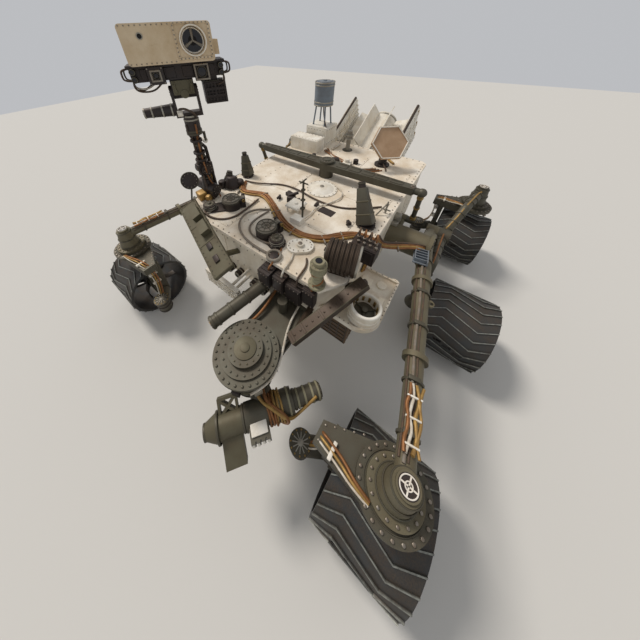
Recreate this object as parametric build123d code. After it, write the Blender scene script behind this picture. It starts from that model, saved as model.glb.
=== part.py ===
from build123d import *
from math import atan2, cos, degrees, radians, sin
import os

os.makedirs("parts", exist_ok=True)

# A six-wheeled planetary rover: a boxy hull on rocker-bogie suspension, a camera mast, a
# hexagonal antenna, a finned power source at the back and the shoulder of an arm in front.
# X is forward, Y is to the left and Z is up. The origin is on the ground, under the middle
# of the rover's outer box. Lengths are in millimetres and angles in degrees.

# Places marked "from the corner" are measured from the deck's top at the hull's front left
# corner, or from its mirror image on the right: forward, outward from the middle, upward.

# Wheels and where they stand
wheel_radius = 262.0
wheel_width = 400.0
wheel_skin = 6.0
lug_height = 9.0
lug_thickness = 6.0
lug_count = 24
lug_skew = 30.0
lug_end_share = 0.25
wheel_rib_depth = 20.0
wheel_rib_width = 8.0
wheel_slot_length = 52.0
wheel_slot_height = 20.0
wheel_slot_pitch = 66.0
wheel_slot_count = 3
wheel_slot_angle = 97.5
hub_radius = 78.0
hub_bore_radius = 66.0
hub_half_length = 70.0
hub_cap_thickness = 12.0
hub_boss_radius = 34.0
hub_boss_height = 14.0
spoke_count = 5
spoke_width = 60.0
spoke_thickness = 7.0
spoke_bulge = 34.0
front_axle_x = 1130.0
middle_axle_x = -70.0
rear_axle_x = -1170.0
corner_track_y = 1080.0
middle_track_y = 1220.0

# Hull and deck
hull_front_x = 800.0
hull_rear_x = -830.0
hull_half_width = 590.0
hull_bottom_z = 610.0
hull_top_z = 1078.0
hull_nose_rise = 130.0
hull_nose_length = 110.0
hull_tail_rise = 150.0
hull_tail_length = 90.0
hull_corner_length = 126.0
hull_corner_width = 81.0
hull_tail_corner = 40.0
deck_thickness = 22.0
deck_overhang = 14.0
deck_top_z = hull_top_z + deck_thickness
belly_skin = 10.0
belly_rib_height = 14.0
belly_rib_width = 30.0
belly_rib_pitch = 260.0
belly_rib_count = 5
belly_margin = 90.0

# Rocker suspension, the left side's numbers, measured out from the hull's side
pivot_x = -90.0
pivot_z = 830.0
pivot_radius = 92.0
pivot_reach = 290.0
pivot_collar_radius = 112.0
pivot_collar_length = 24.0
rocker_reach = 260.0
rocker_rear_radius = 46.0
rocker_front_radius = 36.0
rocker_short_radius = 42.0
collar_ring_radius = 56.0
collar_ring_length = 26.0
collar_shares = (0.24, 0.62)
eye_lug_share = 0.36
eye_lug_radius = 24.0
eye_lug_hole = 10.0
eye_lug_thickness = 14.0
lever_reach = 50.0
lever_x = -240.0
lever_z = 900.0
lever_half_width = 20.0

# Bogie suspension
bogie_pivot_x = -600.0
bogie_pivot_z = 600.0
bogie_pivot_radius = 66.0
bogie_pivot_length = 92.0
bogie_split_reach = 308.0
bogie_reach = 350.0
bogie_tube_radius = 34.0
strut_knee_back = 130.0
strut_knee_rise = 30.0
rear_knee_x = -860.0
rear_knee_z = 770.0
drive_radius = 58.0
drive_gap = 6.0

# Steering head above each corner wheel, on the rocker or the bogie
wheel_top_gap = 144.0
head_height = 178.0
head_cap_radius = 48.0
head_cap_height = 14.0
head_cap_step = 8.0
head_foot_radius = 74.0
head_ring_radius = 104.0
head_ring_height = 24.0
head_joint_drop = 50.0

# Steering yokes
yoke_gap = 2.0
flange_radius = 140.0
flange_thickness = 26.0
flange_sink = 4.0
beam_root_width = 210.0
beam_root_y = 70.0
beam_end_width = 92.0
beam_reach = 318.0
beam_lean = 26.0
beam_height = 64.0
arm_thickness = 44.0
arm_width_top = 118.0
arm_width_bottom = 96.0
wheel_side_gap = 16.0
motor_radius = 48.0
motor_drum_x = 75.0
motor_drum_y = 375.0
motor_drum_radius = 62.0
motor_drum_drop = 66.0
motor_drum_rise = 68.0
motor_drum_flange = 14.0
motor_drum_waist = 52.0

# Differential bar across the deck
bar_x = -150.0
bar_rise = 96.0
bar_mid_width = 112.0
bar_end_width = 62.0
bar_height = 50.0
bar_post_radius = 56.0
bar_cap_height = 18.0
bar_pin_radius = 24.0
link_reach = 60.0
link_radius = 16.0
link_eye_radius = 30.0
link_boss_radius = 26.0
bar_end_gap = 20.0

# Power source at the back, tilted with its far end up
power_reach = 375.0
power_z = 1060.0
power_tilt = 30.0
power_length = 520.0
power_radius = 135.0
power_cap_height = 40.0
fin_count = 8
fin_tip_radius = 270.0
fin_thickness = 8.0
fin_length_share = 0.92
plate_half_gap = 300.0
plate_thickness = 30.0
plate_length = 500.0
plate_height = 420.0
plate_rib_count = 7
plate_rib_height = 10.0
plate_rib_width = 12.0
plate_lift = 70.0
carrier_rod_radius = 16.0
carrier_rod_heights = (-90.0, 110.0)
carrier_rod_hull_y = 180.0
carrier_rod_ring_y = 110.0
carrier_rod_slope = 0.8
carrier_ring_width = 34.0
carrier_ring_thickness = 26.0

# Mast and its two drives
mast_from_corner = (-200.0, -45.0)
mast_tube_radius = 23.0
mast_height = 550.0
mast_foot_height = 150.0
mast_foot_radius = 56.0
mast_hinge_radius = 40.0
mast_hinge_half = 92.0
mast_hinge_share = 0.55
mast_strut_radius = 11.0
mast_strut_offset = 66.0
mast_strut_drop = 190.0
mast_strut_lean = 0.75
mast_joint_rise = 230.0
mast_joint_radius = 40.0
mast_joint_half = 46.0
mast_collar_radius = 44.0
mast_collar_height = 70.0
pan_radius = 42.0
pan_height = 30.0
pan_gap = 1.0
pan_rest = 60.0
pan_motor_radius = 34.0
pan_motor_tip_radius = 25.0
pan_motor_rise = 42.0
pan_motor_reach = 165.0
tilt_rise = 160.0
tilt_radius = 38.0
tilt_half_length = 60.0
tilt_neck_half = 36.0
yoke_cheek = 14.0
yoke_cheek_gap = 1.0
yoke_cheek_half_width = 30.0
yoke_base_rise = 24.0
yoke_base_height = 24.0

# Mast head and its cameras
camera_bar_length = 480.0
camera_bar_height = 76.0
camera_bar_depth = 130.0
camera_bar_bottom = 62.0
camera_bar_lip = 10.0
camera_shelf_inset = 8.0
camera_front_step = 20.0
camera_size = 78.0
camera_reach = 34.0
camera_half_spacing = 113.0
camera_recess_depth = 14.0
camera_recess_sizes = (30.0, 56.0)
navigation_half_spacing = 216.0
navigation_spread = 17.0
navigation_radius = 14.0
navigation_reach = 26.0
head_box_width = 400.0
head_box_height = 158.0
head_box_depth = 240.0
head_box_shift = -11.0
head_box_corner = 16.0
head_side_block = (60.0, 56.0, 62.0)
head_side_block_inset = 24.0
window_radius = 55.0
window_rim = 9.0
window_rim_height = 6.0
window_side = 98.0
window_height_share = 0.54
window_depth = 34.0
finned_box_side = 171.0
finned_box_size = (84.0, 124.0, 112.0)
finned_box_drop = 26.0
finned_cell = (44.0, 25.0)
finned_cell_pitch = (54.0, 34.0)
finned_cell_depth = 10.0
finned_neck = 44.0

# Hexagonal antenna on its two-axis mount
dish_from_rear = 250.0
dish_y = 300.0
dish_post_radius = 34.0
dish_post_foot = 61.0
dish_post_foot_height = 14.0
dish_turn_rise = 80.0
dish_tilt_rise = 180.0
dish_side = 148.0
dish_thickness = 26.0
dish_rim = 14.0
dish_rim_depth = 4.0
dish_turn_gap = 1.0
dish_hinge_overlap = 2.0
dish_rest_turn = 40.0
dish_rest_tilt = 38.0
dish_stand_off = 42.0
dish_pin_radius = 17.0
dish_yoke_half = 52.0
dish_yoke_cheek = 12.0
dish_yoke_half_width = 15.0
dish_yoke_gap = 1.0
dish_turntable_height = 35.0

# Fixed antennas behind the deck
helix_from_rear = 105.0
helix_from_side = 195.0
helix_rise = 370.0
helix_height = 195.0
helix_radius = 88.0
helix_leg_count = 4
helix_leg_radius = 7.0
helix_leg_top_share = 0.75
helix_leg_foot_share = 1.0
helix_foot_height = 8.0
helix_foot_radius = 10.0
helix_base_side = 220.0
helix_base_height = 190.0
low_gain_from_rear = 130.0
low_gain_y = -80.0
low_gain_height = 190.0
low_gain_radius = 34.0
low_gain_tip_radius = 22.0
low_gain_stem_radius = 20.0
low_gain_collar_share = 0.6

# Things that stand on the deck; x is measured back from the hull's front
side_box_from_rear = 310.0
side_box_y = -430.0
side_box_size = (150.0, 300.0, 120.0)
small_box_place = (-422.0, 76.0)
small_box_size = (104.0, 104.0, 12.0)
small_box_leg_count = 4
small_box_leg_circle = 57.0
small_box_leg_radius = 6.0
small_box_leg_height = 44.0
relay_box_place = (-330.0, 152.0)
relay_box_size = (56.0, 74.0, 40.0)
dome_x = -750.0
dome_y = 80.0
dome_radius = 100.0
dome_height = 26.0
dome_ring_width = 14.0
dome_ring_height = 6.0
inlet_places = (
    # name, x, y, direction of the lid's hinge, direction of the base plate, plate's length
    ("front", -132.0, 70.0, 160.0, 75.0, 100.0),
    ("rear", -200.0, -310.0, 139.0, 319.0, 150.0),
)
inlet_radius = 66.0
inlet_height = 52.0
inlet_plate_height = 12.0
inlet_plate_end_radius = 52.0
inlet_motor_radius = 42.0
inlet_motor_height = 46.0
inlet_funnel_radius = 58.0
inlet_funnel_floor_radius = 22.0
inlet_funnel_depth = 36.0
inlet_ear_half_inside = 20.0
inlet_ear_thickness = 14.0
inlet_ear_half_length = 12.0
inlet_ear_base_height = 31.0
inlet_ear_radius = 12.0
inlet_neck_overlap = 12.0
lid_radius = 60.0
lid_thickness = 12.0
lid_gap = 6.0
lid_hinge_offset = 82.0
lid_pin_radius = 7.0
lid_arm_half_width = 15.0
lid_pin_half_length = 19.0
port_cover_place = (-160.0, 292.0)
port_cover_radii = (75.0, 52.0)
port_cover_turn = 130.0
port_cover_height = 18.0
port_knob_radius = 20.0
port_knob_height = 16.0
post_places = (
    # x, side, distance from the hull's side, height, foot radius, lean forward, lean left
    (-550.0, 1, 80.0, 230.0, 46.0, -90.0, -110.0),
    (-370.0, -1, 45.0, 110.0, 44.0, -40.0, 0.0),
    (-570.0, -1, 70.0, 200.0, 38.0, -16.0, -30.0),
)
post_foot_share = 1.15
post_foot_height = 16.0
post_foot_overlap = 6.0
post_tip_share = 0.42
canister_from_corner = (-142.0, -122.0)
canister_turn = 104.0
canister_radius = 82.0
canister_length = 145.0
canister_rib_count = 7
canister_rib_depth = 8.0
canister_groove_share = 0.2
canister_bore_radius = 62.0
canister_bore_depth = 60.0
canister_clearance = 6.0
canister_saddle_width = 90.0
canister_saddle_share = 0.45
housing_from_corner = (-306.0, 5.0)
housing_size = (88.0, 130.0, 98.0)
column_from_corner = (-10.0, -98.0)
column_foot_radius = 42.0
column_foot_height = 12.0
column_radius = 25.0
column_height = 150.0
column_head_radius = 37.0
column_head_height = 44.0
column_cap_radius = 26.0
column_cap_height = 22.0
hoist_hole_radius = 4.2
hoist_circle = 70.0
hoist_hole_count = 4
hoist_places = (
    # name, x, y
    ("front", -110.0, -150.0),
    ("rear_left", -1130.0, 420.0),
    ("rear_right", -1130.0, -330.0),
)

# Tray, round bin and slotted rack on the hull's left front, x measured from the hull's front
tray_rear = -400.0
tray_front = -10.0
tray_reach = 212.0
tray_drop = 194.0
tray_thickness = 14.0
tray_lip_height = 16.0
tray_lip_thickness = 10.0
tray_corner = 110.0
tray_lug_radius = 24.0
tray_lug_hole = 9.0
tray_lug_inset = 18.0
bit_box_from_front = 110.0
bit_box_reach = 126.0
bit_box_radius = 76.0
bit_box_drop = 100.0
bit_box_mouth_radius = 60.0
bit_box_mouth_depth = 52.0
rack_rear = -200.0
rack_front = -12.0
rack_sink = 90.0
rack_reach = 100.0
rack_drop = 375.0
rack_slot_count = 5
rack_slot_height = 20.0
rack_slot_margin = 20.0
rack_slot_depth = 26.0

# Boxes, brackets and cameras on the hull's front and back
front_box_places = (
    # y, width, depth, depth below the deck, height
    (224.0, 76.0, 84.0, 130.0, 104.0),
    (301.0, 70.0, 62.0, 150.0, 110.0),
    (388.0, 96.0, 48.0, 185.0, 125.0),
    (473.0, 68.0, 36.0, 145.0, 115.0),
)
vent_reach = 78.0
vent_radius = 27.0
vent_height = 106.0
radiator_y = -55.0
radiator_width = 290.0
radiator_height = 118.0
radiator_depth = 26.0
radiator_drop = 220.0
radiator_stand_off = 155.0
radiator_legs_y = (-188.0, 8.0)
radiator_leg_drops = (30.0, 90.0)
radiator_leg_radius = 9.0
radiator_bar = 8.0
radiator_cell_depth = 12.0
radiator_rows = 2
radiator_columns = 6
panel_start_from_corner = (0.0, -58.0, 34.0)
panel_end_from_corner = (197.0, -643.0, -44.0)
panel_slope = -0.5
panel_width = 124.0
panel_thickness = 24.0
panel_leg_radius = 18.0
panel_leg_shares = (0.2, 0.8)
panel_leg_drop = 90.0
panel_box_shares = (0.24, 0.47)
panel_box_size = (58.0, 40.0, 96.0)
panel_box_side = -26.0
restraint_start_from_corner = (-150.0, 84.0, 10.0)
restraint_end_from_corner = (215.0, -85.0, -170.0)
restraint_width = 58.0
restraint_height = 44.0
restraint_leg_radius = 18.0
restraint_side_foot_drop = 100.0
restraint_front_foot_from_corner = (0.0, -112.0, -218.0)
brace_start_from_corner = (0.0, -378.0, -170.0)
brace_end_from_corner = (390.0, -470.0, -210.0)
brace_radius = 34.0
brace_plate_half = 40.0
brace_plate_thickness = 12.0
hazard_spacing = 82.0
hazard_front_y = 110.0
hazard_rear_y = 470.0
hazard_front_drop = 320.0
hazard_rear_drop = 220.0
hazard_radius = 26.0
hazard_reach = 46.0

# Arm shoulder on the front of the hull
shoulder_reach = 365.0
shoulder_y = 345.0
shoulder_steps = (
    # radius, bottom z, top z
    (132.0, 700.0, 838.0),
    (142.0, 776.0, 796.0),
    (160.0, 838.0, 858.0),
    (124.0, 858.0, 870.0),
    (84.0, 870.0, 892.0),
)
shoulder_split_z = 700.0
shoulder_bottom_z = 560.0
shoulder_lower_radius = 112.0
shoulder_gap = 2.0
bracket_plate_levels = (735.0, 818.0)
bracket_plate_half = 14.0
bracket_plate_half_width = 120.0
bracket_foot_half_width = 150.0
bracket_foot_thickness = 16.0
bracket_foot_height = 110.0
elbow_z = 590.0
elbow_offset = 186.0
elbow_turn = 145.0
elbow_body_radius = 62.0
elbow_body_span = (-70.0, 170.0)
elbow_neck_radius = 56.0
elbow_neck_reach = 40.0
elbow_motor_radius = 42.0
elbow_motor_reach = 318.0
elbow_motor_ring = 47.0
elbow_motor_ring_span = (176.0, 188.0)
gear_block_span = (-58.0, 34.0)
gear_block_out = (40.0, 112.0)
gear_block_half_height = 34.0
gear_block_groove_count = 3
gear_block_groove = 8.0
elbow_head_radius = 66.0
elbow_head_start = 196.0
elbow_head_reach = 264.0
elbow_head_tip_share = 0.5
link_hub_start = 72.0
link_hub_radius = 56.0
link_plate_width = 96.0
link_plate_length = 140.0
link_plate_back = 30.0
link_plate_thickness = 56.0
link_plate_offset = 140.0
link_plate_start = 20.0
link_plate_drop = 0.6
link_lattice_length = 86.0
link_lattice_width = 96.0
link_lattice_thickness = 44.0
link_lattice_bar = 11.0
link_bolt_circle = 40.0
link_bolt_count = 4
link_bolt_radius = 3.3
link_bolt_depth = 24.0

# Places that follow from the wheels and the hull
head_bottom_z = 2 * wheel_radius + wheel_top_gap
head_top_z = head_bottom_z + head_height
shoulder_x = hull_front_x + shoulder_reach
pivot_outer_y = hull_half_width + pivot_reach
rocker_y = hull_half_width + rocker_reach
lever_y = hull_half_width + lever_reach
link_y = lever_y + link_reach
bar_half_length = link_y - link_eye_radius - bar_end_gap
bogie_split_y = hull_half_width + bogie_split_reach
bogie_y = hull_half_width + bogie_reach
mast_x = hull_front_x + mast_from_corner[0]
mast_y = -hull_half_width - mast_from_corner[1]
mast_top_z = deck_top_z + mast_height
tilt_z = mast_top_z + tilt_rise
bar_z = deck_top_z + bar_rise
power_x = hull_rear_x - power_reach
dish_x = hull_rear_x + dish_from_rear
dish_turn_z = deck_top_z + dish_turn_rise
dish_tilt_z = deck_top_z + dish_tilt_rise
bit_box_x = hull_front_x - bit_box_from_front
bit_box_y = hull_half_width + bit_box_reach
bit_box_top_z = deck_top_z - bit_box_drop
canister_x = hull_front_x + canister_from_corner[0]
canister_y = hull_half_width + canister_from_corner[1]
canister_z = deck_top_z + canister_clearance + canister_radius


def from_corner(place, side=1):
    """A point measured from the deck's top at the hull's front left or front right corner."""
    forward, out, up = place
    return (hull_front_x + forward, side * (hull_half_width + out), deck_top_z + up)


def span(x0, x1, y0, y1, z0, z1):
    """A box between two corners."""
    middle = Pos((x0 + x1) / 2, (y0 + y1) / 2, (z0 + z1) / 2)
    return middle * Box(abs(x1 - x0), abs(y1 - y0), abs(z1 - z0))


def block(x, y, z, size):
    """A box that stands on the height z with its middle at x and y."""
    length, width, height = size
    return Pos(x, y, z + height / 2) * Box(length, width, height)


def tube(start, end, radius, end_radius=None):
    """A round bar or cone from one point to another."""
    first = Vector(*start)
    along = Vector(*end) - first
    place = Plane(origin=first, z_dir=along)
    align = (Align.CENTER, Align.CENTER, Align.MIN)
    if end_radius is None:
        return place * Cylinder(radius, along.length, align=align)
    return place * Cone(radius, end_radius, along.length, align=align)


def upright(x, y, z0, z1, radius, end_radius=None):
    """A round bar or cone that stands on end."""
    return tube((x, y, z0), (x, y, z1), radius, end_radius)


def crossbar(x, y0, y1, z, radius, end_radius=None):
    """A round bar or cone that runs from side to side."""
    return tube((x, y0, z), (x, y1, z), radius, end_radius)


def bent_tube(points, radius):
    """A round tube through several points, with a ball at each bend."""
    shape = tube(points[0], points[1], radius)
    for start, end in zip(points[1:-1], points[2:]):
        shape += Pos(*start) * Sphere(radius) + tube(start, end, radius)
    return shape


def side_profile(points, y0, y1):
    """A prism whose outline is drawn in the XZ plane and which runs from y0 to y1."""
    outline = make_face(Polyline(*[(x, y0, z) for x, z in points], close=True))
    return extrude(outline, amount=y1 - y0, dir=(0, 1, 0))


def plan_profile(points, z0, z1):
    """A prism whose outline is drawn on the ground plane and which runs from z0 to z1."""
    outline = make_face(Polyline(*[(x, y, z0) for x, y in points], close=True))
    return extrude(outline, amount=z1 - z0, dir=(0, 0, 1))


def circle_places(count, circle_radius, phase=45.0):
    """Evenly spaced points on a circle about the origin."""
    turns = [radians(phase + number * 360 / count) for number in range(count)]
    return [(circle_radius * cos(turn), circle_radius * sin(turn)) for turn in turns]


def both_sides(shape):
    """The shape and its mirror image on the rover's other side."""
    return shape, mirror(shape, about=Plane.XZ)


def save(name, shape):
    export_step(shape, f"parts/{name}.step")


# Wheels: a thin drum with zigzag lugs, two inner ribs, a hub and curved spokes
drum_radius = wheel_radius - lug_height
lug_end = wheel_width * lug_end_share
lug_middle = wheel_width - 2 * lug_end
lug_swing = degrees(lug_end * sin(radians(lug_skew)) / cos(radians(lug_skew)) / wheel_radius)


def lug(phase):
    """One zigzag lug, in three straight stretches that follow the drum."""
    stations = (
        (-wheel_width / 2, -lug_swing / 2),
        (-lug_middle / 2, lug_swing / 2),
        (lug_middle / 2, -lug_swing / 2),
        (wheel_width / 2, lug_swing / 2),
    )
    thickness_angle = degrees(lug_thickness / wheel_radius)
    root = drum_radius - wheel_skin / 2
    sections = []
    for y, turn in stations:
        corners = []
        for radius, side in ((root, -1), (wheel_radius, -1), (wheel_radius, 1), (root, 1)):
            angle = radians(phase + turn + side * thickness_angle / 2)
            corners.append((radius * sin(angle), y, -radius * cos(angle)))
        sections.append(make_face(Polyline(*corners, close=True)))
    return loft(sections, ruled=True)


def spoke():
    """One curved strip from the hub to the drum."""
    root = hub_radius - spoke_thickness / 2
    reach = drum_radius - wheel_skin / 2
    middle = (root + reach) / 2
    inner = ThreePointArc((root, 0), (middle, spoke_bulge), (reach, 0))
    outer_middle = (middle, spoke_bulge + spoke_thickness)
    outer = ThreePointArc((reach, spoke_thickness), outer_middle, (root, spoke_thickness))
    ends = Line((reach, 0), (reach, spoke_thickness)) + Line((root, spoke_thickness), (root, 0))
    strip = Plane.XZ * make_face(inner + outer + ends)
    return Pos(0, -spoke_width / 2, 0) * extrude(strip, amount=-spoke_width)


def wheel():
    """A left wheel about the Y axis, with its outer face towards +Y."""
    half = wheel_width / 2
    shape = crossbar(0, -half, half, 0, drum_radius) - crossbar(0, -half, half, 0, drum_radius - wheel_skin)
    for rib_y in (-half, half - wheel_rib_width):
        rib_end = rib_y + wheel_rib_width
        rib = crossbar(0, rib_y, rib_end, 0, drum_radius - wheel_skin / 2)
        shape += rib - crossbar(0, rib_y, rib_end, 0, drum_radius - wheel_rib_depth)
    for number in range(wheel_slot_count):
        slot_y = (number - (wheel_slot_count - 1) / 2) * wheel_slot_pitch
        turn = wheel_slot_angle - lug_swing * slot_y / lug_middle
        slot = Box(wheel_slot_height, wheel_slot_length, 4 * wheel_skin)
        shape -= Rot(0, -turn, 0) * Pos(0, slot_y, -drum_radius) * slot
    hub = crossbar(0, -hub_half_length, hub_half_length, 0, hub_radius)
    hub += crossbar(0, hub_half_length, hub_half_length + hub_boss_height, 0, hub_boss_radius)
    hub -= crossbar(0, -hub_half_length, hub_half_length - hub_cap_thickness, 0, hub_bore_radius)
    shape += hub
    for number in range(spoke_count):
        shape += Rot(0, number * 360 / spoke_count, 0) * spoke()
    for number in range(lug_count):
        shape += lug(number * 360 / lug_count)
    return shape


wheel_places = (
    # name, x, y
    ("front_left", front_axle_x, corner_track_y),
    ("front_right", front_axle_x, -corner_track_y),
    ("middle_left", middle_axle_x, middle_track_y),
    ("middle_right", middle_axle_x, -middle_track_y),
    ("rear_left", rear_axle_x, corner_track_y),
    ("rear_right", rear_axle_x, -corner_track_y),
)
left_wheel, right_wheel = both_sides(wheel())
for name, x, y in wheel_places:
    side = left_wheel if y > 0 else right_wheel
    save(f"wheel_{name}", Pos(x, y, wheel_radius) * side)

# Steering yokes: a bolted flange under the steering head, a wedge over the wheel, an arm down
# its inner side, the drive in the hub and its motor drum beside the arm
drive_end = hub_half_length - hub_cap_thickness - drive_gap


def yoke():
    """A left yoke about its steering axis, at x = 0 and y = 0."""
    flange_top = head_bottom_z - yoke_gap
    flange_bottom = flange_top - flange_thickness
    beam_top = flange_bottom + flange_sink
    beam_bottom = beam_top - beam_height
    arm_outer = -wheel_width / 2 - wheel_side_gap
    arm_inner = arm_outer - arm_thickness
    outline = (
        (-beam_root_width / 2, -beam_root_y),
        (beam_lean - beam_end_width / 2, -beam_reach),
        (beam_lean + beam_end_width / 2, -beam_reach),
        (beam_root_width / 2, -beam_root_y),
    )
    shape = upright(0, 0, flange_bottom, flange_top, flange_radius)
    shape += plan_profile(outline, beam_bottom, beam_top)
    arm = make_face(
        Polyline(
            (-arm_width_top / 2, arm_inner, beam_bottom + flange_sink),
            (arm_width_top / 2, arm_inner, beam_bottom + flange_sink),
            (arm_width_bottom / 2, arm_inner, wheel_radius),
            (-arm_width_bottom / 2, arm_inner, wheel_radius),
            close=True,
        )
    )
    shape += extrude(arm, amount=arm_thickness, dir=(0, 1, 0))
    shape += crossbar(0, arm_inner, arm_outer, wheel_radius, arm_width_bottom / 2)
    shape += crossbar(0, arm_outer, drive_end, wheel_radius, drive_radius)
    shape += tube((0, arm_inner, wheel_radius), (motor_drum_x, -motor_drum_y, wheel_radius), motor_radius)
    drum_floor = wheel_radius - motor_drum_drop
    drum_top = wheel_radius + motor_drum_rise
    rim_floor = drum_top - motor_drum_flange
    shape += upright(motor_drum_x, -motor_drum_y, drum_floor, drum_top, motor_drum_waist)
    return shape + upright(motor_drum_x, -motor_drum_y, rim_floor, drum_top, motor_drum_radius)


left_yoke, right_yoke = both_sides(yoke())
for name, x, y in wheel_places:
    if "middle" not in name:
        side = left_yoke if y > 0 else right_yoke
        save(f"steering_yoke_{name}", Pos(x, y, 0) * side)

# Steering head: the fixed ring, cone and cap above each corner wheel
head_joint_z = head_top_z - head_joint_drop


def steering_head(x):
    """The steering head of a left corner wheel."""
    ring_top = head_bottom_z + head_ring_height
    cap_top = head_top_z + head_cap_height
    head = upright(x, corner_track_y, head_bottom_z, ring_top, head_ring_radius)
    head += upright(x, corner_track_y, ring_top, head_top_z, head_foot_radius, head_cap_radius)
    return head + upright(x, corner_track_y, head_top_z, cap_top, head_cap_radius - head_cap_step)


# Rockers: the pivot hub on the hull's side, the long front tube with its collars and ring lug,
# the short rear tube and the lever that the differential bar's rod holds
rocker_bend = (pivot_x, rocker_y, pivot_z)
rocker_front = (front_axle_x, corner_track_y, head_joint_z)
rocker_rear = (bogie_pivot_x, bogie_split_y - bogie_pivot_length / 2, bogie_pivot_z)
rocker_along = Vector(*rocker_front) - Vector(*rocker_bend)
forward = rocker_along.normalized()
outward_side = Vector(-forward.Y, forward.X, 0)
rocker = crossbar(pivot_x, hull_half_width, pivot_outer_y, pivot_z, pivot_radius)
collar_start = pivot_outer_y - pivot_collar_length
rocker += crossbar(pivot_x, collar_start, pivot_outer_y, pivot_z, pivot_collar_radius)
rocker += tube(rocker_bend, rocker_front, rocker_rear_radius, rocker_front_radius)
rocker += tube(rocker_bend, rocker_rear, rocker_short_radius)
rocker += steering_head(front_axle_x)
for share in collar_shares:
    ring_start = Vector(*rocker_bend) + rocker_along * share
    rocker += tube(ring_start, ring_start + forward * collar_ring_length, collar_ring_radius)
eye = Vector(*rocker_bend) + rocker_along * eye_lug_share + outward_side * rocker_rear_radius
eye_half = Vector(0, 0, eye_lug_thickness / 2)
rocker += tube(eye - eye_half, eye + eye_half, eye_lug_radius)
eye_hole = eye + outward_side * eye_lug_hole
rocker -= tube(eye_hole - eye_half, eye_hole + eye_half, eye_lug_hole)
bogie_pivot_start = bogie_split_y - bogie_pivot_length
rocker += crossbar(bogie_pivot_x, bogie_pivot_start, bogie_split_y, bogie_pivot_z, bogie_pivot_radius)
lever_face = lever_y + lever_half_width
rocker += tube((pivot_x, lever_y, pivot_z), (lever_x, lever_y, lever_z), lever_half_width)
rocker += crossbar(lever_x, lever_y - lever_half_width, lever_face, lever_z, link_eye_radius)
for name, shape in zip(("left", "right"), both_sides(rocker)):
    save(f"rocker_{name}", shape)

# Bogies: the pivot, the strut down to the middle drive and the arm back to the rear head
strut_knee = (middle_axle_x - strut_knee_back, bogie_y, bogie_pivot_z + strut_knee_rise)
strut_foot = (middle_axle_x, bogie_y, wheel_radius)
rear_knee = (rear_knee_x, (bogie_y + corner_track_y) / 2, rear_knee_z)
rear_joint = (rear_axle_x, corner_track_y, head_joint_z)
pivot_middle = (bogie_pivot_x, bogie_y, bogie_pivot_z)
bogie_pivot_end = bogie_split_y + bogie_pivot_length
bogie = crossbar(bogie_pivot_x, bogie_split_y, bogie_pivot_end, bogie_pivot_z, bogie_pivot_radius)
bogie += bent_tube([pivot_middle, strut_knee, strut_foot], bogie_tube_radius)
bogie += bent_tube([pivot_middle, rear_knee, rear_joint], bogie_tube_radius)
bogie += Pos(*strut_foot) * Sphere(drive_radius)
bogie += crossbar(middle_axle_x, bogie_y, middle_track_y + drive_end, wheel_radius, drive_radius)
bogie += steering_head(rear_axle_x)
for name, shape in zip(("left", "right"), both_sides(bogie)):
    save(f"bogie_{name}", shape)


# Hull: a closed box with cut corners and a raised nose and tail, under a thin deck
def hull_plan(margin=0.0):
    """The hull's outline seen from above, widened by a margin."""
    front = hull_front_x + margin
    rear = hull_rear_x - margin
    side = hull_half_width + margin
    left = (
        (front, side - hull_corner_width),
        (front - hull_corner_length, side),
        (rear + hull_tail_corner, side),
        (rear, side - hull_tail_corner),
    )
    return left + tuple((x, -y) for x, y in reversed(left))


hull_outline = (
    (hull_rear_x + hull_tail_length, hull_bottom_z),
    (hull_front_x - hull_nose_length, hull_bottom_z),
    (hull_front_x, hull_bottom_z + hull_nose_rise),
    (hull_front_x, hull_top_z),
    (hull_rear_x, hull_top_z),
    (hull_rear_x, hull_bottom_z + hull_tail_rise),
)
hull = side_profile(hull_outline, -hull_half_width, hull_half_width)
hull &= plan_profile(hull_plan(), hull_bottom_z, hull_top_z)
save("hull", hull)

deck = plan_profile(hull_plan(deck_overhang), hull_top_z, deck_top_z)
for name, x, y in hoist_places:
    for hole_x, hole_y in circle_places(hoist_hole_count, hoist_circle / 2):
        deck -= upright(hull_front_x + x + hole_x, y + hole_y, hull_top_z, deck_top_z, hoist_hole_radius)
save("deck_panel", deck)

belly_rear = hull_rear_x + hull_tail_length + belly_margin
belly_front = hull_front_x - hull_nose_length - belly_margin
belly_y = hull_half_width - belly_margin
belly_floor = hull_bottom_z - belly_skin
belly = span(belly_rear, belly_front, -belly_y, belly_y, belly_floor, hull_bottom_z)
for number in range(belly_rib_count):
    rib_x = (belly_rear + belly_front) / 2 + (number - (belly_rib_count - 1) / 2) * belly_rib_pitch
    rib_size = (belly_rib_width, 2 * belly_y, belly_rib_height)
    belly += block(rib_x, 0, belly_floor - belly_rib_height, rib_size)
save("belly_pan", belly)

# Differential bar: a tapered beam on a post, with a link rod down to each rocker
bar_half_end = bar_end_width / 2
bar_outline = (
    (bar_x - bar_half_end, -bar_half_length),
    (bar_x + bar_half_end, -bar_half_length),
    (bar_x + bar_mid_width / 2, 0),
    (bar_x + bar_half_end, bar_half_length),
    (bar_x - bar_half_end, bar_half_length),
    (bar_x - bar_mid_width / 2, 0),
)
bar_top = bar_z + bar_height / 2
bar = plan_profile(bar_outline, bar_z - bar_height / 2, bar_top)
bar += upright(bar_x, 0, deck_top_z, bar_top + bar_cap_height, bar_post_radius)
rod_top = (bar_x, link_y, bar_z)
rod = crossbar(bar_x, bar_half_length - link_radius, link_y, bar_z, bar_pin_radius)
rod += Pos(*rod_top) * Sphere(link_eye_radius)
rod += tube(rod_top, (lever_x, link_y, lever_z), link_radius)
rod += crossbar(lever_x, lever_face, link_y + link_boss_radius, lever_z, link_boss_radius)
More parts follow.
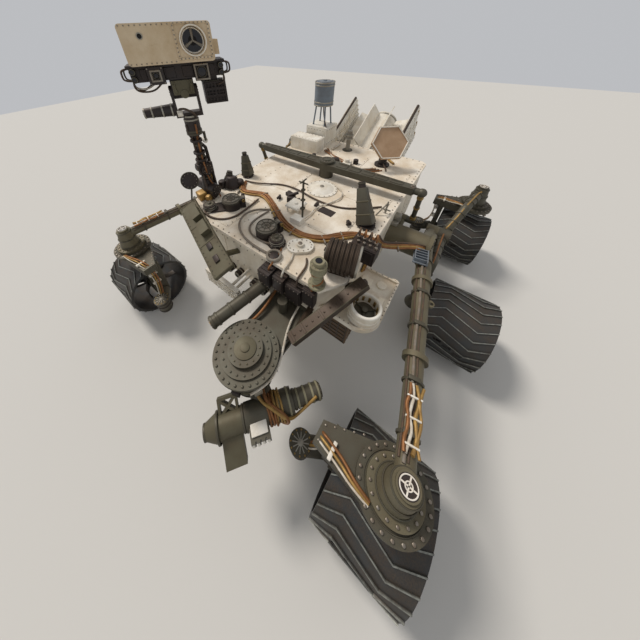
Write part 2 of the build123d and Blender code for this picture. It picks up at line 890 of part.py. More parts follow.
bar += rod + mirror(rod, about=Plane.XZ)
save("differential_bar", bar)

# Power source: a finned drum on four rods, between two ribbed heat plates
tilt_sin = sin(radians(power_tilt))
tilt_cos = cos(radians(power_tilt))
power_middle = (power_x, 0, power_z)
tilted = Plane(origin=power_middle, x_dir=(tilt_sin, 0, tilt_cos), z_dir=(-tilt_cos, 0, tilt_sin))
power_core = Cylinder(power_radius, power_length)
fin_root = power_radius - fin_thickness
fin_size = (fin_tip_radius - fin_root, fin_thickness, power_length * fin_length_share)
fin = Pos((fin_tip_radius + fin_root) / 2, 0, 0) * Box(*fin_size)
for number in range(fin_count):
    power_core += Rot(0, 0, (number + 0.5) * 360 / fin_count) * fin
power_core += Pos(0, 0, power_length / 2) * Cylinder(power_radius * fin_length_share, power_cap_height)
power_source = tilted * power_core
save("power_source", power_source)

plate = Pos(plate_lift, plate_half_gap + plate_thickness / 2, 0) * Box(plate_height, plate_thickness, plate_length)
for number in range(plate_rib_count):
    rib_x = plate_lift + (number - (plate_rib_count - 1) / 2) * plate_height / plate_rib_count
    rib = Box(plate_rib_width, 2 * plate_rib_height, plate_length)
    plate += Pos(rib_x, plate_half_gap, 0) * rib
plates = both_sides(tilted * plate)
save("heat_plates", Compound(children=list(plates)))

ring_drop = power_length / 2 + carrier_ring_thickness / 2
ring = Cylinder(power_radius + carrier_ring_width, carrier_ring_thickness)
carrier = tilted * (Pos(0, 0, -ring_drop) * ring)
ring_middle = Vector(*power_middle) - tilted.z_dir * ring_drop
for side_y in (-1, 1):
    for height in carrier_rod_heights:
        rise = height * carrier_rod_slope
        rod_start = (hull_rear_x, side_y * carrier_rod_hull_y, ring_middle.Z + height)
        rod_x = ring_middle.X + rise * tilt_sin / tilt_cos
        rod_end = (rod_x, side_y * carrier_rod_ring_y, ring_middle.Z + rise)
        carrier += tube(rod_start, rod_end, carrier_rod_radius)
    arm_end = (ring_middle.X, side_y * plate_half_gap, ring_middle.Z)
    carrier += tube(ring_middle, arm_end, carrier_rod_radius)
carrier = carrier - power_source - hull - plates[0] - plates[1]
save("power_source_carrier", carrier)

# Mast: a foot with its locked hinge, the tube, a thick joint and a thin brace beside it
mast_cone_top = deck_top_z + mast_foot_height
mast = upright(mast_x, mast_y, deck_top_z, mast_cone_top, mast_foot_radius, mast_strut_radius + mast_tube_radius)
mast += upright(mast_x, mast_y, deck_top_z, mast_top_z, mast_tube_radius)
hinge_z = deck_top_z + mast_foot_height * mast_hinge_share
mast += crossbar(mast_x, mast_y - mast_hinge_half, mast_y + mast_hinge_half, hinge_z, mast_hinge_radius)
joint_z = deck_top_z + mast_joint_rise
mast += crossbar(mast_x, mast_y - mast_joint_half, mast_y + mast_joint_half, joint_z, mast_joint_radius)
brace_top_z = mast_top_z - mast_strut_drop
brace_foot = (mast_x - mast_strut_offset, mast_y, deck_top_z)
brace_top = (mast_x - mast_strut_offset * mast_strut_lean, mast_y, brace_top_z)
mast += tube(brace_foot, brace_top, mast_strut_radius)
mast += tube(brace_top, (mast_x, mast_y, brace_top_z + mast_strut_offset), mast_strut_radius)
mast += upright(mast_x, mast_y, mast_top_z - mast_collar_height, mast_top_z, mast_collar_radius)
mast -= deck
save("mast", mast)

turned = Pos(mast_x, mast_y, 0) * Rot(0, 0, pan_rest)
pan_bottom = mast_top_z + pan_gap
cheek_y = tilt_half_length + yoke_cheek_gap
cheek_outer = cheek_y + yoke_cheek
cheek_bottom = pan_bottom + yoke_base_rise
cheek_half = yoke_cheek_half_width
pan = upright(0, 0, pan_bottom, pan_bottom + pan_height, pan_radius)
pan += span(-cheek_half, cheek_half, -cheek_outer, cheek_outer, cheek_bottom, cheek_bottom + yoke_base_height)
for side_y in (-1, 1):
    pan += span(-cheek_half, cheek_half, side_y * cheek_y, side_y * cheek_outer, cheek_bottom, tilt_z)
    pan += crossbar(0, side_y * cheek_y, side_y * cheek_outer, tilt_z, cheek_half)
motor_z = cheek_bottom + pan_motor_rise
motor_end = -cheek_outer - pan_motor_reach
pan += crossbar(0, -cheek_outer, motor_end, motor_z, pan_motor_radius, pan_motor_tip_radius)
save("mast_pan_drive", turned * pan)

bar_floor = tilt_z + camera_bar_bottom
bar_lip_z = bar_floor + camera_bar_height - camera_bar_lip
head_floor = bar_floor + camera_bar_height
camera_front = camera_bar_depth / 2 - camera_front_step
shelf_y = camera_bar_length / 2 - camera_shelf_inset
tilt = crossbar(0, -tilt_half_length, tilt_half_length, tilt_z, tilt_radius)
tilt_neck = (2 * tilt_neck_half, 2 * tilt_half_length, camera_bar_bottom + camera_bar_lip)
tilt += block(0, 0, tilt_z, tilt_neck)
tilt += block(0, 0, bar_lip_z, (camera_bar_depth, camera_bar_length, camera_bar_lip))
tilt += span(-camera_bar_depth / 2, camera_front, -shelf_y, shelf_y, bar_floor, bar_lip_z)
finned_top = bar_floor - finned_box_drop
finned_z = finned_top - finned_box_size[2]
tilt += block(0, finned_box_side, finned_z, finned_box_size)
tilt += block(0, finned_box_side, finned_top, (finned_neck, finned_neck, finned_box_drop))
for column_side in (-1, 1):
    for row in (-1, 0, 1):
        cell_y = finned_box_side + column_side * finned_cell_pitch[0] / 2
        cell_z = finned_z + (finned_box_size[2] - finned_cell[1]) / 2 + row * finned_cell_pitch[1]
        tilt -= block(finned_box_size[0] / 2, cell_y, cell_z, (2 * finned_cell_depth, *finned_cell))
save("mast_tilt_bar", turned * tilt)

# Cameras of the mast's head: two square ones side by side and a stacked pair at each end
camera_floor = bar_lip_z - camera_size
camera_z = bar_lip_z - camera_size / 2
camera_nose = camera_front + camera_reach
cameras = []
for side_y, recess in zip((-1, 1), camera_recess_sizes):
    y = side_y * camera_half_spacing
    camera = span(camera_front, camera_nose, y - camera_size / 2, y + camera_size / 2, camera_floor, bar_lip_z)
    camera -= block(camera_nose, y, camera_z - recess / 2, (2 * camera_recess_depth, recess, recess))
    cameras.append(turned * camera)
    for offset in (-1, 1):
        eye_y = side_y * navigation_half_spacing
        eye_z = (bar_floor + bar_lip_z) / 2 + offset * navigation_spread
        start = (camera_front, eye_y, eye_z)
        cameras.append(turned * tube(start, (camera_front + navigation_reach, eye_y, eye_z), navigation_radius))
save("mast_cameras", Compound(children=cameras))

# Head box of the mast, with its round window in a raised ring and a small block on its side
head_right = head_box_shift - head_box_width / 2
head_left = head_right + head_box_width
head_front = head_box_depth / 2
head_box = block(0, head_box_shift, head_floor, (head_box_depth, head_box_width, head_box_height))
head_box = fillet(head_box.edges().filter_by(Axis.X), head_box_corner)
side_block_x = head_front - head_side_block[0] / 2 - head_side_block_inset
head_box += block(side_block_x, head_left, head_floor + head_side_block_inset, head_side_block)
window_z = head_floor + head_box_height * window_height_share
window_start = (head_front - window_depth, window_side, window_z)
window_end = (head_front + window_rim_height, window_side, window_z)
head_box += tube((head_front, window_side, window_z), window_end, window_radius + window_rim)
head_box -= tube(window_start, window_end, window_radius)
save("mast_head_box", turned * head_box)

# Hexagonal antenna: a post, a turning yoke and the tilting panel
post = upright(dish_x, dish_y, deck_top_z, dish_turn_z, dish_post_radius)
post += upright(dish_x, dish_y, deck_top_z, deck_top_z + dish_post_foot_height, dish_post_foot)
save("antenna_post", post)
dish_turned = Pos(dish_x, dish_y, 0) * Rot(0, 0, dish_rest_turn)
table_bottom = dish_turn_z + dish_turn_gap
table_top = dish_turn_z + dish_turntable_height
fork_inner = dish_yoke_half - dish_yoke_cheek
fork_half = dish_yoke_half_width
turn = upright(0, 0, table_bottom, table_top, dish_post_radius)
turn += span(-fork_half, fork_half, -dish_yoke_half, dish_yoke_half, table_top - fork_half, table_top)
for side_y in (-1, 1):
    turn += span(-fork_half, fork_half, side_y * fork_inner, side_y * dish_yoke_half, table_top - fork_half, dish_tilt_z)
    turn += crossbar(0, side_y * fork_inner, side_y * dish_yoke_half, dish_tilt_z, dish_pin_radius + dish_rim_depth)
save("antenna_yoke", dish_turned * turn)
panel = extrude(Plane.YZ.offset(dish_stand_off) * RegularPolygon(dish_side, 6), amount=dish_thickness)
rim_plane = Plane.YZ.offset(dish_stand_off + dish_thickness - dish_rim_depth)
panel -= extrude(rim_plane * RegularPolygon(dish_side - dish_rim, 6), amount=dish_rim_depth)
hinge_half = fork_inner - dish_yoke_gap
arm_half = hinge_half - dish_hinge_overlap
panel += crossbar(0, -hinge_half, hinge_half, 0, dish_pin_radius)
panel += span(0, dish_stand_off + dish_hinge_overlap, -arm_half, arm_half, -fork_half, fork_half)
save("antenna_panel", dish_turned * (Pos(0, 0, dish_tilt_z) * Rot(0, -dish_rest_tilt, 0) * panel))

# Helix antenna in its drum on four legs, and the small low-gain antenna
helix_x = hull_rear_x + helix_from_rear
helix_y = helix_from_side - hull_half_width
helix_bottom_z = deck_top_z + helix_rise
helix_base_top = deck_top_z + helix_base_height
foot_top_z = helix_base_top + helix_foot_height
helix = upright(helix_x, helix_y, helix_bottom_z, helix_bottom_z + helix_height, helix_radius)
leg_tops = circle_places(helix_leg_count, helix_radius * helix_leg_top_share)
leg_feet = circle_places(helix_leg_count, helix_radius * helix_leg_foot_share)
for (top_x, top_y), (foot_x, foot_y) in zip(leg_tops, leg_feet):
    leg_foot = (helix_x + foot_x, helix_y + foot_y, foot_top_z)
    leg_top = (helix_x + top_x, helix_y + top_y, helix_bottom_z + helix_leg_radius)
    helix += tube(leg_foot, leg_top, helix_leg_radius)
    helix += upright(leg_foot[0], leg_foot[1], helix_base_top, foot_top_z, helix_foot_radius)
save("helix_antenna", helix)
low_gain_x = hull_rear_x + low_gain_from_rear
low_gain_top_z = deck_top_z + low_gain_height
low_gain_collar_z = deck_top_z + low_gain_height * low_gain_collar_share
low = upright(low_gain_x, low_gain_y, deck_top_z, low_gain_top_z, low_gain_stem_radius)
low += upright(low_gain_x, low_gain_y, low_gain_collar_z, low_gain_top_z, low_gain_radius, low_gain_tip_radius)
save("low_gain_antenna", low)

# Plain boxes, a low dome and an oval port cover on the deck
helix_base = block(helix_x, helix_y, deck_top_z, (helix_base_side, helix_base_side, helix_base_height))
side_box = block(hull_rear_x + side_box_from_rear, side_box_y, deck_top_z, side_box_size)
small_x = hull_front_x + small_box_place[0]
small_y = small_box_place[1]
small_box = block(small_x, small_y, deck_top_z + small_box_leg_height, small_box_size)
for leg_x, leg_y in circle_places(small_box_leg_count, small_box_leg_circle):
    leg_top_z = deck_top_z + small_box_leg_height
    small_box += upright(small_x + leg_x, small_y + leg_y, deck_top_z, leg_top_z, small_box_leg_radius)
relay_box = block(hull_front_x + relay_box_place[0], relay_box_place[1], deck_top_z, relay_box_size)
dome_middle = hull_front_x + dome_x
dome_ball = (dome_radius**2 + dome_height**2) / (2 * dome_height)
dome = Pos(dome_middle, dome_y, deck_top_z + dome_height - dome_ball) * Sphere(dome_ball)
dome &= upright(dome_middle, dome_y, deck_top_z, deck_top_z + dome_height, dome_radius)
dome += upright(dome_middle, dome_y, deck_top_z, deck_top_z + dome_ring_height, dome_radius + dome_ring_width)
cover_x = hull_front_x + port_cover_place[0]
cover_plan = Rot(0, 0, port_cover_turn) * SlotOverall(2 * port_cover_radii[0], 2 * port_cover_radii[1])
port_cover = Pos(cover_x, port_cover_place[1], deck_top_z) * extrude(cover_plan, amount=port_cover_height)
knob_z = deck_top_z + port_cover_height
port_cover += upright(cover_x, port_cover_place[1], knob_z, knob_z + port_knob_height, port_knob_radius)
deck_boxes = [helix_base, side_box, small_box, relay_box, dome, port_cover]
save("deck_boxes", Compound(children=deck_boxes))

# Sample inlets: an open funnel on a base plate with a motor, and a lid that swings over it
pin_z = inlet_height + lid_gap + lid_thickness / 2
lid_floor = inlet_height + lid_gap
lid_top = lid_floor + lid_thickness
ear_inner = inlet_ear_half_inside
ear_outer = inlet_ear_half_inside + inlet_ear_thickness
ear_start = lid_hinge_offset - inlet_ear_half_length
ear_end = lid_hinge_offset + inlet_ear_half_length
inlets = []
for name, x, y, hinge_turn, plate_turn, plate_reach in inlet_places:
    place = Pos(hull_front_x + x, y, deck_top_z)
    base_plate = span(0, plate_reach, -inlet_plate_end_radius, inlet_plate_end_radius, 0, inlet_plate_height)
    base_plate += upright(plate_reach, 0, 0, inlet_plate_height, inlet_plate_end_radius)
    base_plate += upright(plate_reach, 0, 0, inlet_motor_height, inlet_motor_radius)
    hinge_turned = Rot(0, 0, hinge_turn)
    base = Rot(0, 0, plate_turn) * base_plate
    base += upright(0, 0, 0, inlet_height, inlet_radius)
    neck_start = inlet_radius - inlet_neck_overlap
    base += hinge_turned * span(neck_start, lid_hinge_offset, -ear_outer, ear_outer, 0, inlet_ear_base_height)
    for side_y in (-1, 1):
        ear = span(ear_start, ear_end, side_y * ear_inner, side_y * ear_outer, 0, pin_z)
        ear += crossbar(lid_hinge_offset, side_y * ear_inner, side_y * ear_outer, pin_z, inlet_ear_radius)
        base += hinge_turned * ear
    funnel_floor = inlet_height - inlet_funnel_depth
    base -= upright(0, 0, funnel_floor, inlet_height, inlet_funnel_floor_radius, inlet_funnel_radius)
    inlets.append(place * base)
    lid = upright(0, 0, lid_floor, lid_top, lid_radius)
    lid += span(0, lid_hinge_offset, -lid_arm_half_width, lid_arm_half_width, lid_floor, lid_top)
    lid += crossbar(lid_hinge_offset, -lid_pin_half_length, lid_pin_half_length, pin_z, lid_pin_radius)
    save(f"inlet_lid_{name}", place * hinge_turned * lid)
save("inlet_bases", Compound(children=inlets))

# Tapered stowage posts that lean over the deck
posts = []
for x, side, inset, height, radius, lean_x, lean_y in post_places:
    foot_x = hull_front_x + x
    foot_y = side * (hull_half_width - inset)
    foot_z = deck_top_z + post_foot_height
    cone_start = (foot_x, foot_y, foot_z - post_foot_overlap)
    cone_end = (foot_x + lean_x, foot_y + lean_y, deck_top_z + height)
    foot = upright(foot_x, foot_y, deck_top_z, foot_z, radius * post_foot_share)
    posts.append(foot + tube(cone_start, cone_end, radius, radius * post_tip_share) - deck)
save("stowage_posts", Compound(children=posts))

# Ribbed canister with an open mouth, lying across the deck's left front corner
canister = tube((0, 0, 0), (canister_length, 0, 0), canister_radius)
rib_pitch = canister_length / canister_rib_count
groove_half = rib_pitch * canister_groove_share
for number in range(1, canister_rib_count):
    groove_start = (number * rib_pitch - groove_half, 0, 0)
    groove_end = (number * rib_pitch + groove_half, 0, 0)
    groove = tube(groove_start, groove_end, canister_radius)
    canister -= groove - tube(groove_start, groove_end, canister_radius - canister_rib_depth)
mouth_start = (canister_length - canister_bore_depth, 0, 0)
canister -= tube(mouth_start, (canister_length, 0, 0), canister_bore_radius)
saddle_height = canister_clearance + canister_radius - canister_bore_radius + canister_clearance
saddle_size = (canister_saddle_width, canister_saddle_width, saddle_height)
saddle_x = canister_length * canister_saddle_share
canister += block(saddle_x, 0, -canister_radius - canister_clearance, saddle_size)
canister -= tube(mouth_start, (canister_length, 0, 0), canister_bore_radius)
save("ribbed_canister", Pos(canister_x, canister_y, canister_z) * Rot(0, 0, canister_turn) * canister)

# Sensor column: a foot, a round column and its round head
column_x, column_y, column_z = from_corner((*column_from_corner, 0))
column_top = column_z + column_height
column = upright(column_x, column_y, column_z, column_z + column_foot_height, column_foot_radius)
column += upright(column_x, column_y, column_z, column_top, column_radius)
column += upright(column_x, column_y, column_top - column_head_height, column_top, column_head_radius)
column += upright(column_x, column_y, column_top, column_top + column_cap_height, column_cap_radius)
save("sensor_column", column)


# Tray with a rim, the round bin that stands in it and the slotted rack below
def tray_block(inset, z0, z1):
    """A block on the tray's plan, with its front outer corner rounded, drawn in by an inset."""
    rear = hull_front_x + tray_rear + inset
    front = hull_front_x + tray_front - inset
    outer = hull_half_width + tray_reach - inset
    body = span(rear, front, hull_half_width - rack_sink, outer, z0, z1)
    corner = body.edges().filter_by(Axis.Z).sort_by(lambda edge: edge.center().X + edge.center().Y)[-1]
    return fillet(corner, tray_corner - inset)


tray_z = deck_top_z - tray_drop
tray_top = tray_z + tray_thickness
rim_top = tray_top + tray_lip_height
tray = tray_block(0, tray_z, rim_top) - tray_block(tray_lip_thickness, tray_top, rim_top)
lug_x = hull_front_x + tray_rear
lug_y = hull_half_width + tray_reach - tray_lug_radius
tray += upright(lug_x, lug_y, tray_z, tray_top, tray_lug_radius)
tray -= upright(lug_x - tray_lug_hole, lug_y, tray_z, tray_top, tray_lug_hole)
bit_box = tray + upright(bit_box_x, bit_box_y, tray_z, bit_box_top_z, bit_box_radius)
mouth_floor = bit_box_top_z - bit_box_mouth_depth
bit_box -= upright(bit_box_x, bit_box_y, mouth_floor, bit_box_top_z, bit_box_mouth_radius)
rack_z = deck_top_z - rack_drop
rack_inner = hull_half_width - rack_sink
rack_outer = hull_half_width + rack_reach
rack_front_x = hull_front_x + rack_front
rack = span(hull_front_x + rack_rear, rack_front_x, rack_inner, rack_outer, rack_z, tray_z)
slot_pitch = (tray_z - rack_z - rack_slot_margin) / rack_slot_count
for number in range(rack_slot_count):
    slot_z = rack_z + rack_slot_margin + number * slot_pitch
    slot_rear = hull_front_x + rack_rear + rack_slot_margin
    slot_end = rack_front_x - rack_slot_margin
    slot_top = slot_z + rack_slot_height
    rack -= span(slot_rear, slot_end, rack_outer - rack_slot_depth, rack_outer, slot_z, slot_top)
bit_box = bit_box + rack - hull
save("bit_box", bit_box)

# Dark instrument boxes on the hull's front and beside the canister
dark_boxes = []
for y, width, depth, drop, height in front_box_places:
    dark_boxes.append(block(hull_front_x + depth / 2, y, deck_top_z - drop, (depth, width, height)))
housing_x, housing_y, housing_z = from_corner((*housing_from_corner, 0))
dark_boxes.append(block(housing_x, housing_y, housing_z, housing_size))
save("front_boxes", Compound(children=dark_boxes))

# Open grid radiator in front of the hull
grid_back = hull_front_x + radiator_stand_off
grid_front = grid_back + radiator_depth
grid_top = deck_top_z - radiator_drop
grid_floor = grid_top - radiator_height
grid_right = radiator_y - radiator_width / 2
grid = span(grid_back, grid_front, grid_right, grid_right + radiator_width, grid_floor, grid_top)
cell_width = (radiator_width - radiator_bar) / radiator_columns - radiator_bar
cell_height = (radiator_height - radiator_bar) / radiator_rows - radiator_bar
cell_size = (2 * radiator_cell_depth, cell_width, cell_height)
for number in range(radiator_columns):
    for row in range(radiator_rows):
        cell_y = grid_right + radiator_bar + cell_width / 2 + number * (cell_width + radiator_bar)
        cell_z = grid_floor + radiator_bar + row * (cell_height + radiator_bar)
        grid -= block(grid_front, cell_y, cell_z, cell_size)
for leg_y in radiator_legs_y:
    for drop in radiator_leg_drops:
        leg_z = grid_top - drop
        grid += tube((hull_front_x, leg_y, leg_z), (grid_back, leg_y, leg_z), radiator_leg_radius)
save("front_radiator", grid)

# Long flat stowage panel across the front, with two small boxes, on two legs from the hull
panel_start = from_corner(panel_start_from_corner, -1)
panel_along = Vector(*from_corner(panel_end_from_corner, -1)) - Vector(*panel_start)
panel_plane = Plane(origin=panel_start, x_dir=(1, 0, panel_slope), z_dir=panel_along)
stowage = Pos(0, 0, panel_along.length / 2) * Box(panel_width, panel_thickness, panel_along.length)
box_side = panel_plane.from_local_coords((0, 1, 0)) - Vector(*panel_start)
box_height = (panel_thickness + panel_box_size[1]) / 2 * (1 if box_side.Z > 0 else -1)
for share in panel_box_shares:
    stowage += Pos(panel_box_side, box_height, panel_along.length * share) * Box(*panel_box_size)
stowage = panel_plane * stowage
for share in panel_leg_shares:
    leg_top = Vector(*panel_start) + panel_along * share
    stowage += tube((hull_front_x, leg_top.Y, leg_top.Z - panel_leg_drop), leg_top, panel_leg_radius)
stowage = stowage - deck - hull
save("stowage_panel", stowage)

# Arm restraint: a dark box beam past the deck's left front corner, with a leg at each end
restraint_start = from_corner(restraint_start_from_corner)
restraint_end = from_corner(restraint_end_from_corner)
restraint_along = Vector(*restraint_end) - Vector(*restraint_start)
level = Vector(-restraint_along.Y, restraint_along.X, 0)
restraint_plane = Plane(origin=restraint_start, x_dir=level, z_dir=restraint_along)
restraint_middle = Pos(0, 0, restraint_along.length / 2)
restraint = restraint_plane * (
    restraint_middle * Box(restraint_width, restraint_height, restraint_along.length)
)
side_foot = (restraint_start[0], hull_half_width, deck_top_z - restraint_side_foot_drop)
restraint += tube(side_foot, restraint_start, restraint_leg_radius)
front_foot = from_corner(restraint_front_foot_from_corner)
restraint += tube(front_foot, restraint_end, restraint_leg_radius)
restraint = restraint - deck - hull
save("arm_restraint", restraint)
brace_start = from_corner(brace_start_from_corner)
brace = tube(brace_start, from_corner(brace_end_from_corner), brace_radius)
brace_size = (2 * brace_plate_thickness, 2 * brace_plate_half, 2 * brace_plate_half)
brace += block(hull_front_x, brace_start[1], brace_start[2] - brace_plate_half, brace_size)
save("front_brace", brace - hull)

# Pairs of small hazard cameras low on the hull's front and high on its back
hazards = []
for side_y in (-1, 1):
    for offset in (-0.5, 0.5):
        front_y = side_y * hazard_front_y + offset * hazard_spacing
        front_z = deck_top_z - hazard_front_drop
        nose = (hull_front_x + hazard_reach, front_y, front_z)
        hazards.append(tube((hull_front_x, front_y, front_z), nose, hazard_radius))
        rear_y = side_y * hazard_rear_y + offset * hazard_spacing
        rear_z = deck_top_z - hazard_rear_drop
        tail = (hull_rear_x - hazard_reach, rear_y, rear_z)
        hazards.append(tube((hull_rear_x, rear_y, rear_z), tail, hazard_radius))
save("hazard_cameras", Compound(children=hazards))

# Shoulder bracket: two plates and a web from the hull's front that hold the stepped drum
plate_low, plate_high = bracket_plate_levels
foot_y0 = shoulder_y - bracket_foot_half_width
foot_y1 = shoulder_y + bracket_foot_half_width
foot_x1 = hull_front_x + bracket_foot_thickness
foot_z = hull_bottom_z + hull_nose_rise
shoulder = span(hull_front_x, foot_x1, foot_y0, foot_y1, foot_z, foot_z + bracket_foot_height)
for radius, bottom_z, top_z in shoulder_steps:
    shoulder += upright(shoulder_x, shoulder_y, bottom_z, top_z, radius)
for level_z in bracket_plate_levels:
    plate_y0 = shoulder_y - bracket_plate_half_width
    plate_y1 = shoulder_y + bracket_plate_half_width
    plate_floor = level_z - bracket_plate_half
    shoulder += span(hull_front_x, shoulder_x, plate_y0, plate_y1, plate_floor, level_z + bracket_plate_half)
web_y = shoulder_y - bracket_plate_half
shoulder += span(hull_front_x, shoulder_x, web_y, web_y + 2 * bracket_plate_half, plate_low, plate_high)
shoulder += upright(hull_front_x + vent_reach, shoulder_y, plate_high, plate_high + vent_height, vent_radius)
save("shoulder_bracket", shoulder)

# Shoulder drive: the lower drum turns about Z and carries the lifting axis of the arm
along = (cos(radians(elbow_turn)), sin(radians(elbow_turn)))
outward = (along[1], -along[0])
axis_x = shoulder_x + elbow_offset * outward[0]
axis_y = shoulder_y + elbow_offset * outward[1]


def on_axis(distance, out=0.0, z=elbow_z):
    """A point at a distance along the lifting axis and out from it."""
    point_x = axis_x + distance * along[0] + out * outward[0]
    point_y = axis_y + distance * along[1] + out * outward[1]
    return (point_x, point_y, z)


turret_top = shoulder_split_z - shoulder_gap
turret = upright(shoulder_x, shoulder_y, shoulder_bottom_z, turret_top, shoulder_lower_radius)
turret += tube(on_axis(elbow_body_span[0]), on_axis(elbow_body_span[1]), elbow_body_radius)
turret += tube(on_axis(elbow_body_span[1]), on_axis(elbow_motor_reach), elbow_motor_radius)
turret += tube(on_axis(elbow_motor_ring_span[0]), on_axis(elbow_motor_ring_span[1]), elbow_motor_ring)
turret += tube((shoulder_x, shoulder_y, elbow_z), on_axis(elbow_neck_reach), elbow_neck_radius)
axis_plane = Plane(origin=on_axis(0), x_dir=(*outward, 0), z_dir=(*along, 0))
gear_size = (
    gear_block_out[1] - gear_block_out[0],
    2 * gear_block_half_height,
    gear_block_span[1] - gear_block_span[0],
)
gear_middle = Pos(sum(gear_block_out) / 2, 0, sum(gear_block_span) / 2)
gear_block = gear_middle * Box(*gear_size)
groove_pitch = gear_size[2] / (gear_block_groove_count + 1)
for number in range(gear_block_groove_count):
    groove_z = gear_block_span[0] + (number + 1) * groove_pitch
    groove = Box(2 * gear_block_groove, gear_size[1], gear_block_groove)
    gear_block -= Pos(gear_block_out[1], 0, groove_z) * groove
turret += axis_plane * gear_block
save("shoulder_drive", turret)

# Root of the arm's upper link: a hub with a cone, a flat box plate to the front and a braced
# lattice to the back
root = tube(on_axis(-link_hub_start), on_axis(-elbow_head_start), link_hub_radius)
cone_tip = elbow_head_radius * elbow_head_tip_share
root += tube(on_axis(-elbow_head_start), on_axis(-elbow_head_reach), elbow_head_radius, cone_tip)
beam_axis = Plane(
    origin=on_axis(-link_plate_offset),
    x_dir=(*outward, -link_plate_drop),
    z_dir=(*along, 0),
)
beam_end = link_plate_start + link_plate_length
beam_middle = Pos((beam_end - link_plate_back) / 2, 0, 0)
beam = beam_middle * Box(beam_end + link_plate_back, link_plate_thickness, link_plate_width)
for bolt_y, bolt_z in circle_places(link_bolt_count, link_bolt_circle / 2):
    bolt_start = (beam_end - link_bolt_depth, bolt_y, bolt_z)
    beam -= tube(bolt_start, (beam_end, bolt_y, bolt_z), link_bolt_radius)
lattice_middle = Pos(-link_plate_back - link_lattice_length / 2, 0, 0)
inner_length = link_lattice_length - 2 * link_lattice_bar
inner_width = link_lattice_width - 2 * link_lattice_bar
pocket = Box(inner_length, link_lattice_thickness, inner_width)
lattice_turn = degrees(atan2(inner_width, inner_length))
for turn in (-lattice_turn, lattice_turn):
    pocket -= Rot(0, turn, 0) * Box(2 * link_lattice_length, link_lattice_thickness, link_lattice_bar)
lattice = Box(link_lattice_length, link_lattice_thickness, link_lattice_width) - pocket
save("arm_link_root", root + beam_axis * (beam + lattice_middle * lattice))
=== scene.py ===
from math import cos, pi, radians, sin

import bpy
from mathutils import Matrix, Vector


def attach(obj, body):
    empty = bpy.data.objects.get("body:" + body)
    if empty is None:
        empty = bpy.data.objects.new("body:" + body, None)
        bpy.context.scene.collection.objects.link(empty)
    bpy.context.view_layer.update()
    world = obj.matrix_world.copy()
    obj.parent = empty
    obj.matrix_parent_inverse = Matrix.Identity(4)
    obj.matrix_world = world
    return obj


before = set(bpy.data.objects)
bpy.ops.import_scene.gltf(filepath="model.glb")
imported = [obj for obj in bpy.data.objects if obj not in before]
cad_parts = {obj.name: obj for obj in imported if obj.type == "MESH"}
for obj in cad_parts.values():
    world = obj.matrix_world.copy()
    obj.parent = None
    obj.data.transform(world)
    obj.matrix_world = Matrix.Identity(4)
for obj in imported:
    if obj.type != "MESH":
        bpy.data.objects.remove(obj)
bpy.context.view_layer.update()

scene = bpy.context.scene
bpy.ops.object.select_all(action="DESELECT")



# Camera
# The photograph is a wide view from an instrument on the arm's end, above the left front
# wheel, looking back and down over the deck and rolled a little to one side.
image_size = 640.0
camera_place = Vector((1.407, 0.803, 2.08))
camera_yaw = radians(-139.79)
camera_pitch = radians(38.91)
camera_roll = radians(2.57)
focal_pixels = 236.3
centre_u = 280.0
centre_v = 215.0

forward = Vector((
    cos(camera_yaw) * cos(camera_pitch), sin(camera_yaw) * cos(camera_pitch), -sin(camera_pitch),
))
right = Vector((sin(camera_yaw), -cos(camera_yaw), 0.0))
down = forward.cross(right)
turned_right = right * cos(camera_roll) + down * sin(camera_roll)
turned_down = down * cos(camera_roll) - right * sin(camera_roll)
camera_data = bpy.data.cameras.new("camera")
camera = bpy.data.objects.new("camera", camera_data)
scene.collection.objects.link(camera)
axes = Matrix((turned_right, -turned_down, -forward)).transposed()
camera.matrix_world = Matrix.Translation(camera_place) @ axes.to_4x4()
camera_data.type = "PERSP"
camera_data.sensor_fit = "HORIZONTAL"
camera_data.sensor_width = 36.0
camera_data.lens = focal_pixels / image_size * camera_data.sensor_width
camera_data.shift_x = (image_size / 2 - centre_u) / image_size
camera_data.shift_y = -(image_size / 2 - centre_v) / image_size
camera_data.clip_start = 0.02
camera_data.clip_end = 60.0
scene.camera = camera


# Studio
# A pale floor and one soft overhead sun with an even sky. The rover stands on the floor as it
# parks, and the floor keeps its shadow.
def tone(hex_colour):
    """A linear colour from an sRGB hex value."""
    channels = [int(hex_colour[place:place + 2], 16) / 255 for place in (1, 3, 5)]
    return [
        value / 12.92 if value <= 0.04045 else ((value + 0.055) / 1.055) ** 2.4
        for value in channels
    ] + [1.0]


def add_node(tree, kind, inputs=None, links=None, **settings):
    """Adds a shader node with its settings, its plain input values and its links."""
    node = tree.nodes.new(kind)
    for name, value in settings.items():
        setattr(node, name, value)
    for name, value in (inputs or {}).items():
        node.inputs[name].default_value = value
    for name, socket in (links or {}).items():
        tree.links.new(socket, node.inputs[name])
    return node


def paint(piece, material):
    """Gives a piece one finish."""
    piece.data.materials.clear()
    piece.data.materials.append(material)


def settle(piece, name, body, material, angle=32.0):
    """Freezes a piece's place into its mesh, smooths and paints it, and lets it ride on a body."""
    bpy.ops.object.select_all(action="DESELECT")
    piece.select_set(True)
    bpy.context.view_layer.objects.active = piece
    bpy.ops.object.transform_apply(location=True, rotation=True, scale=True)
    bpy.ops.object.shade_smooth_by_angle(angle=radians(angle))
    piece.name = name
    paint(piece, material)
    if body:
        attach(piece, body)
    return piece


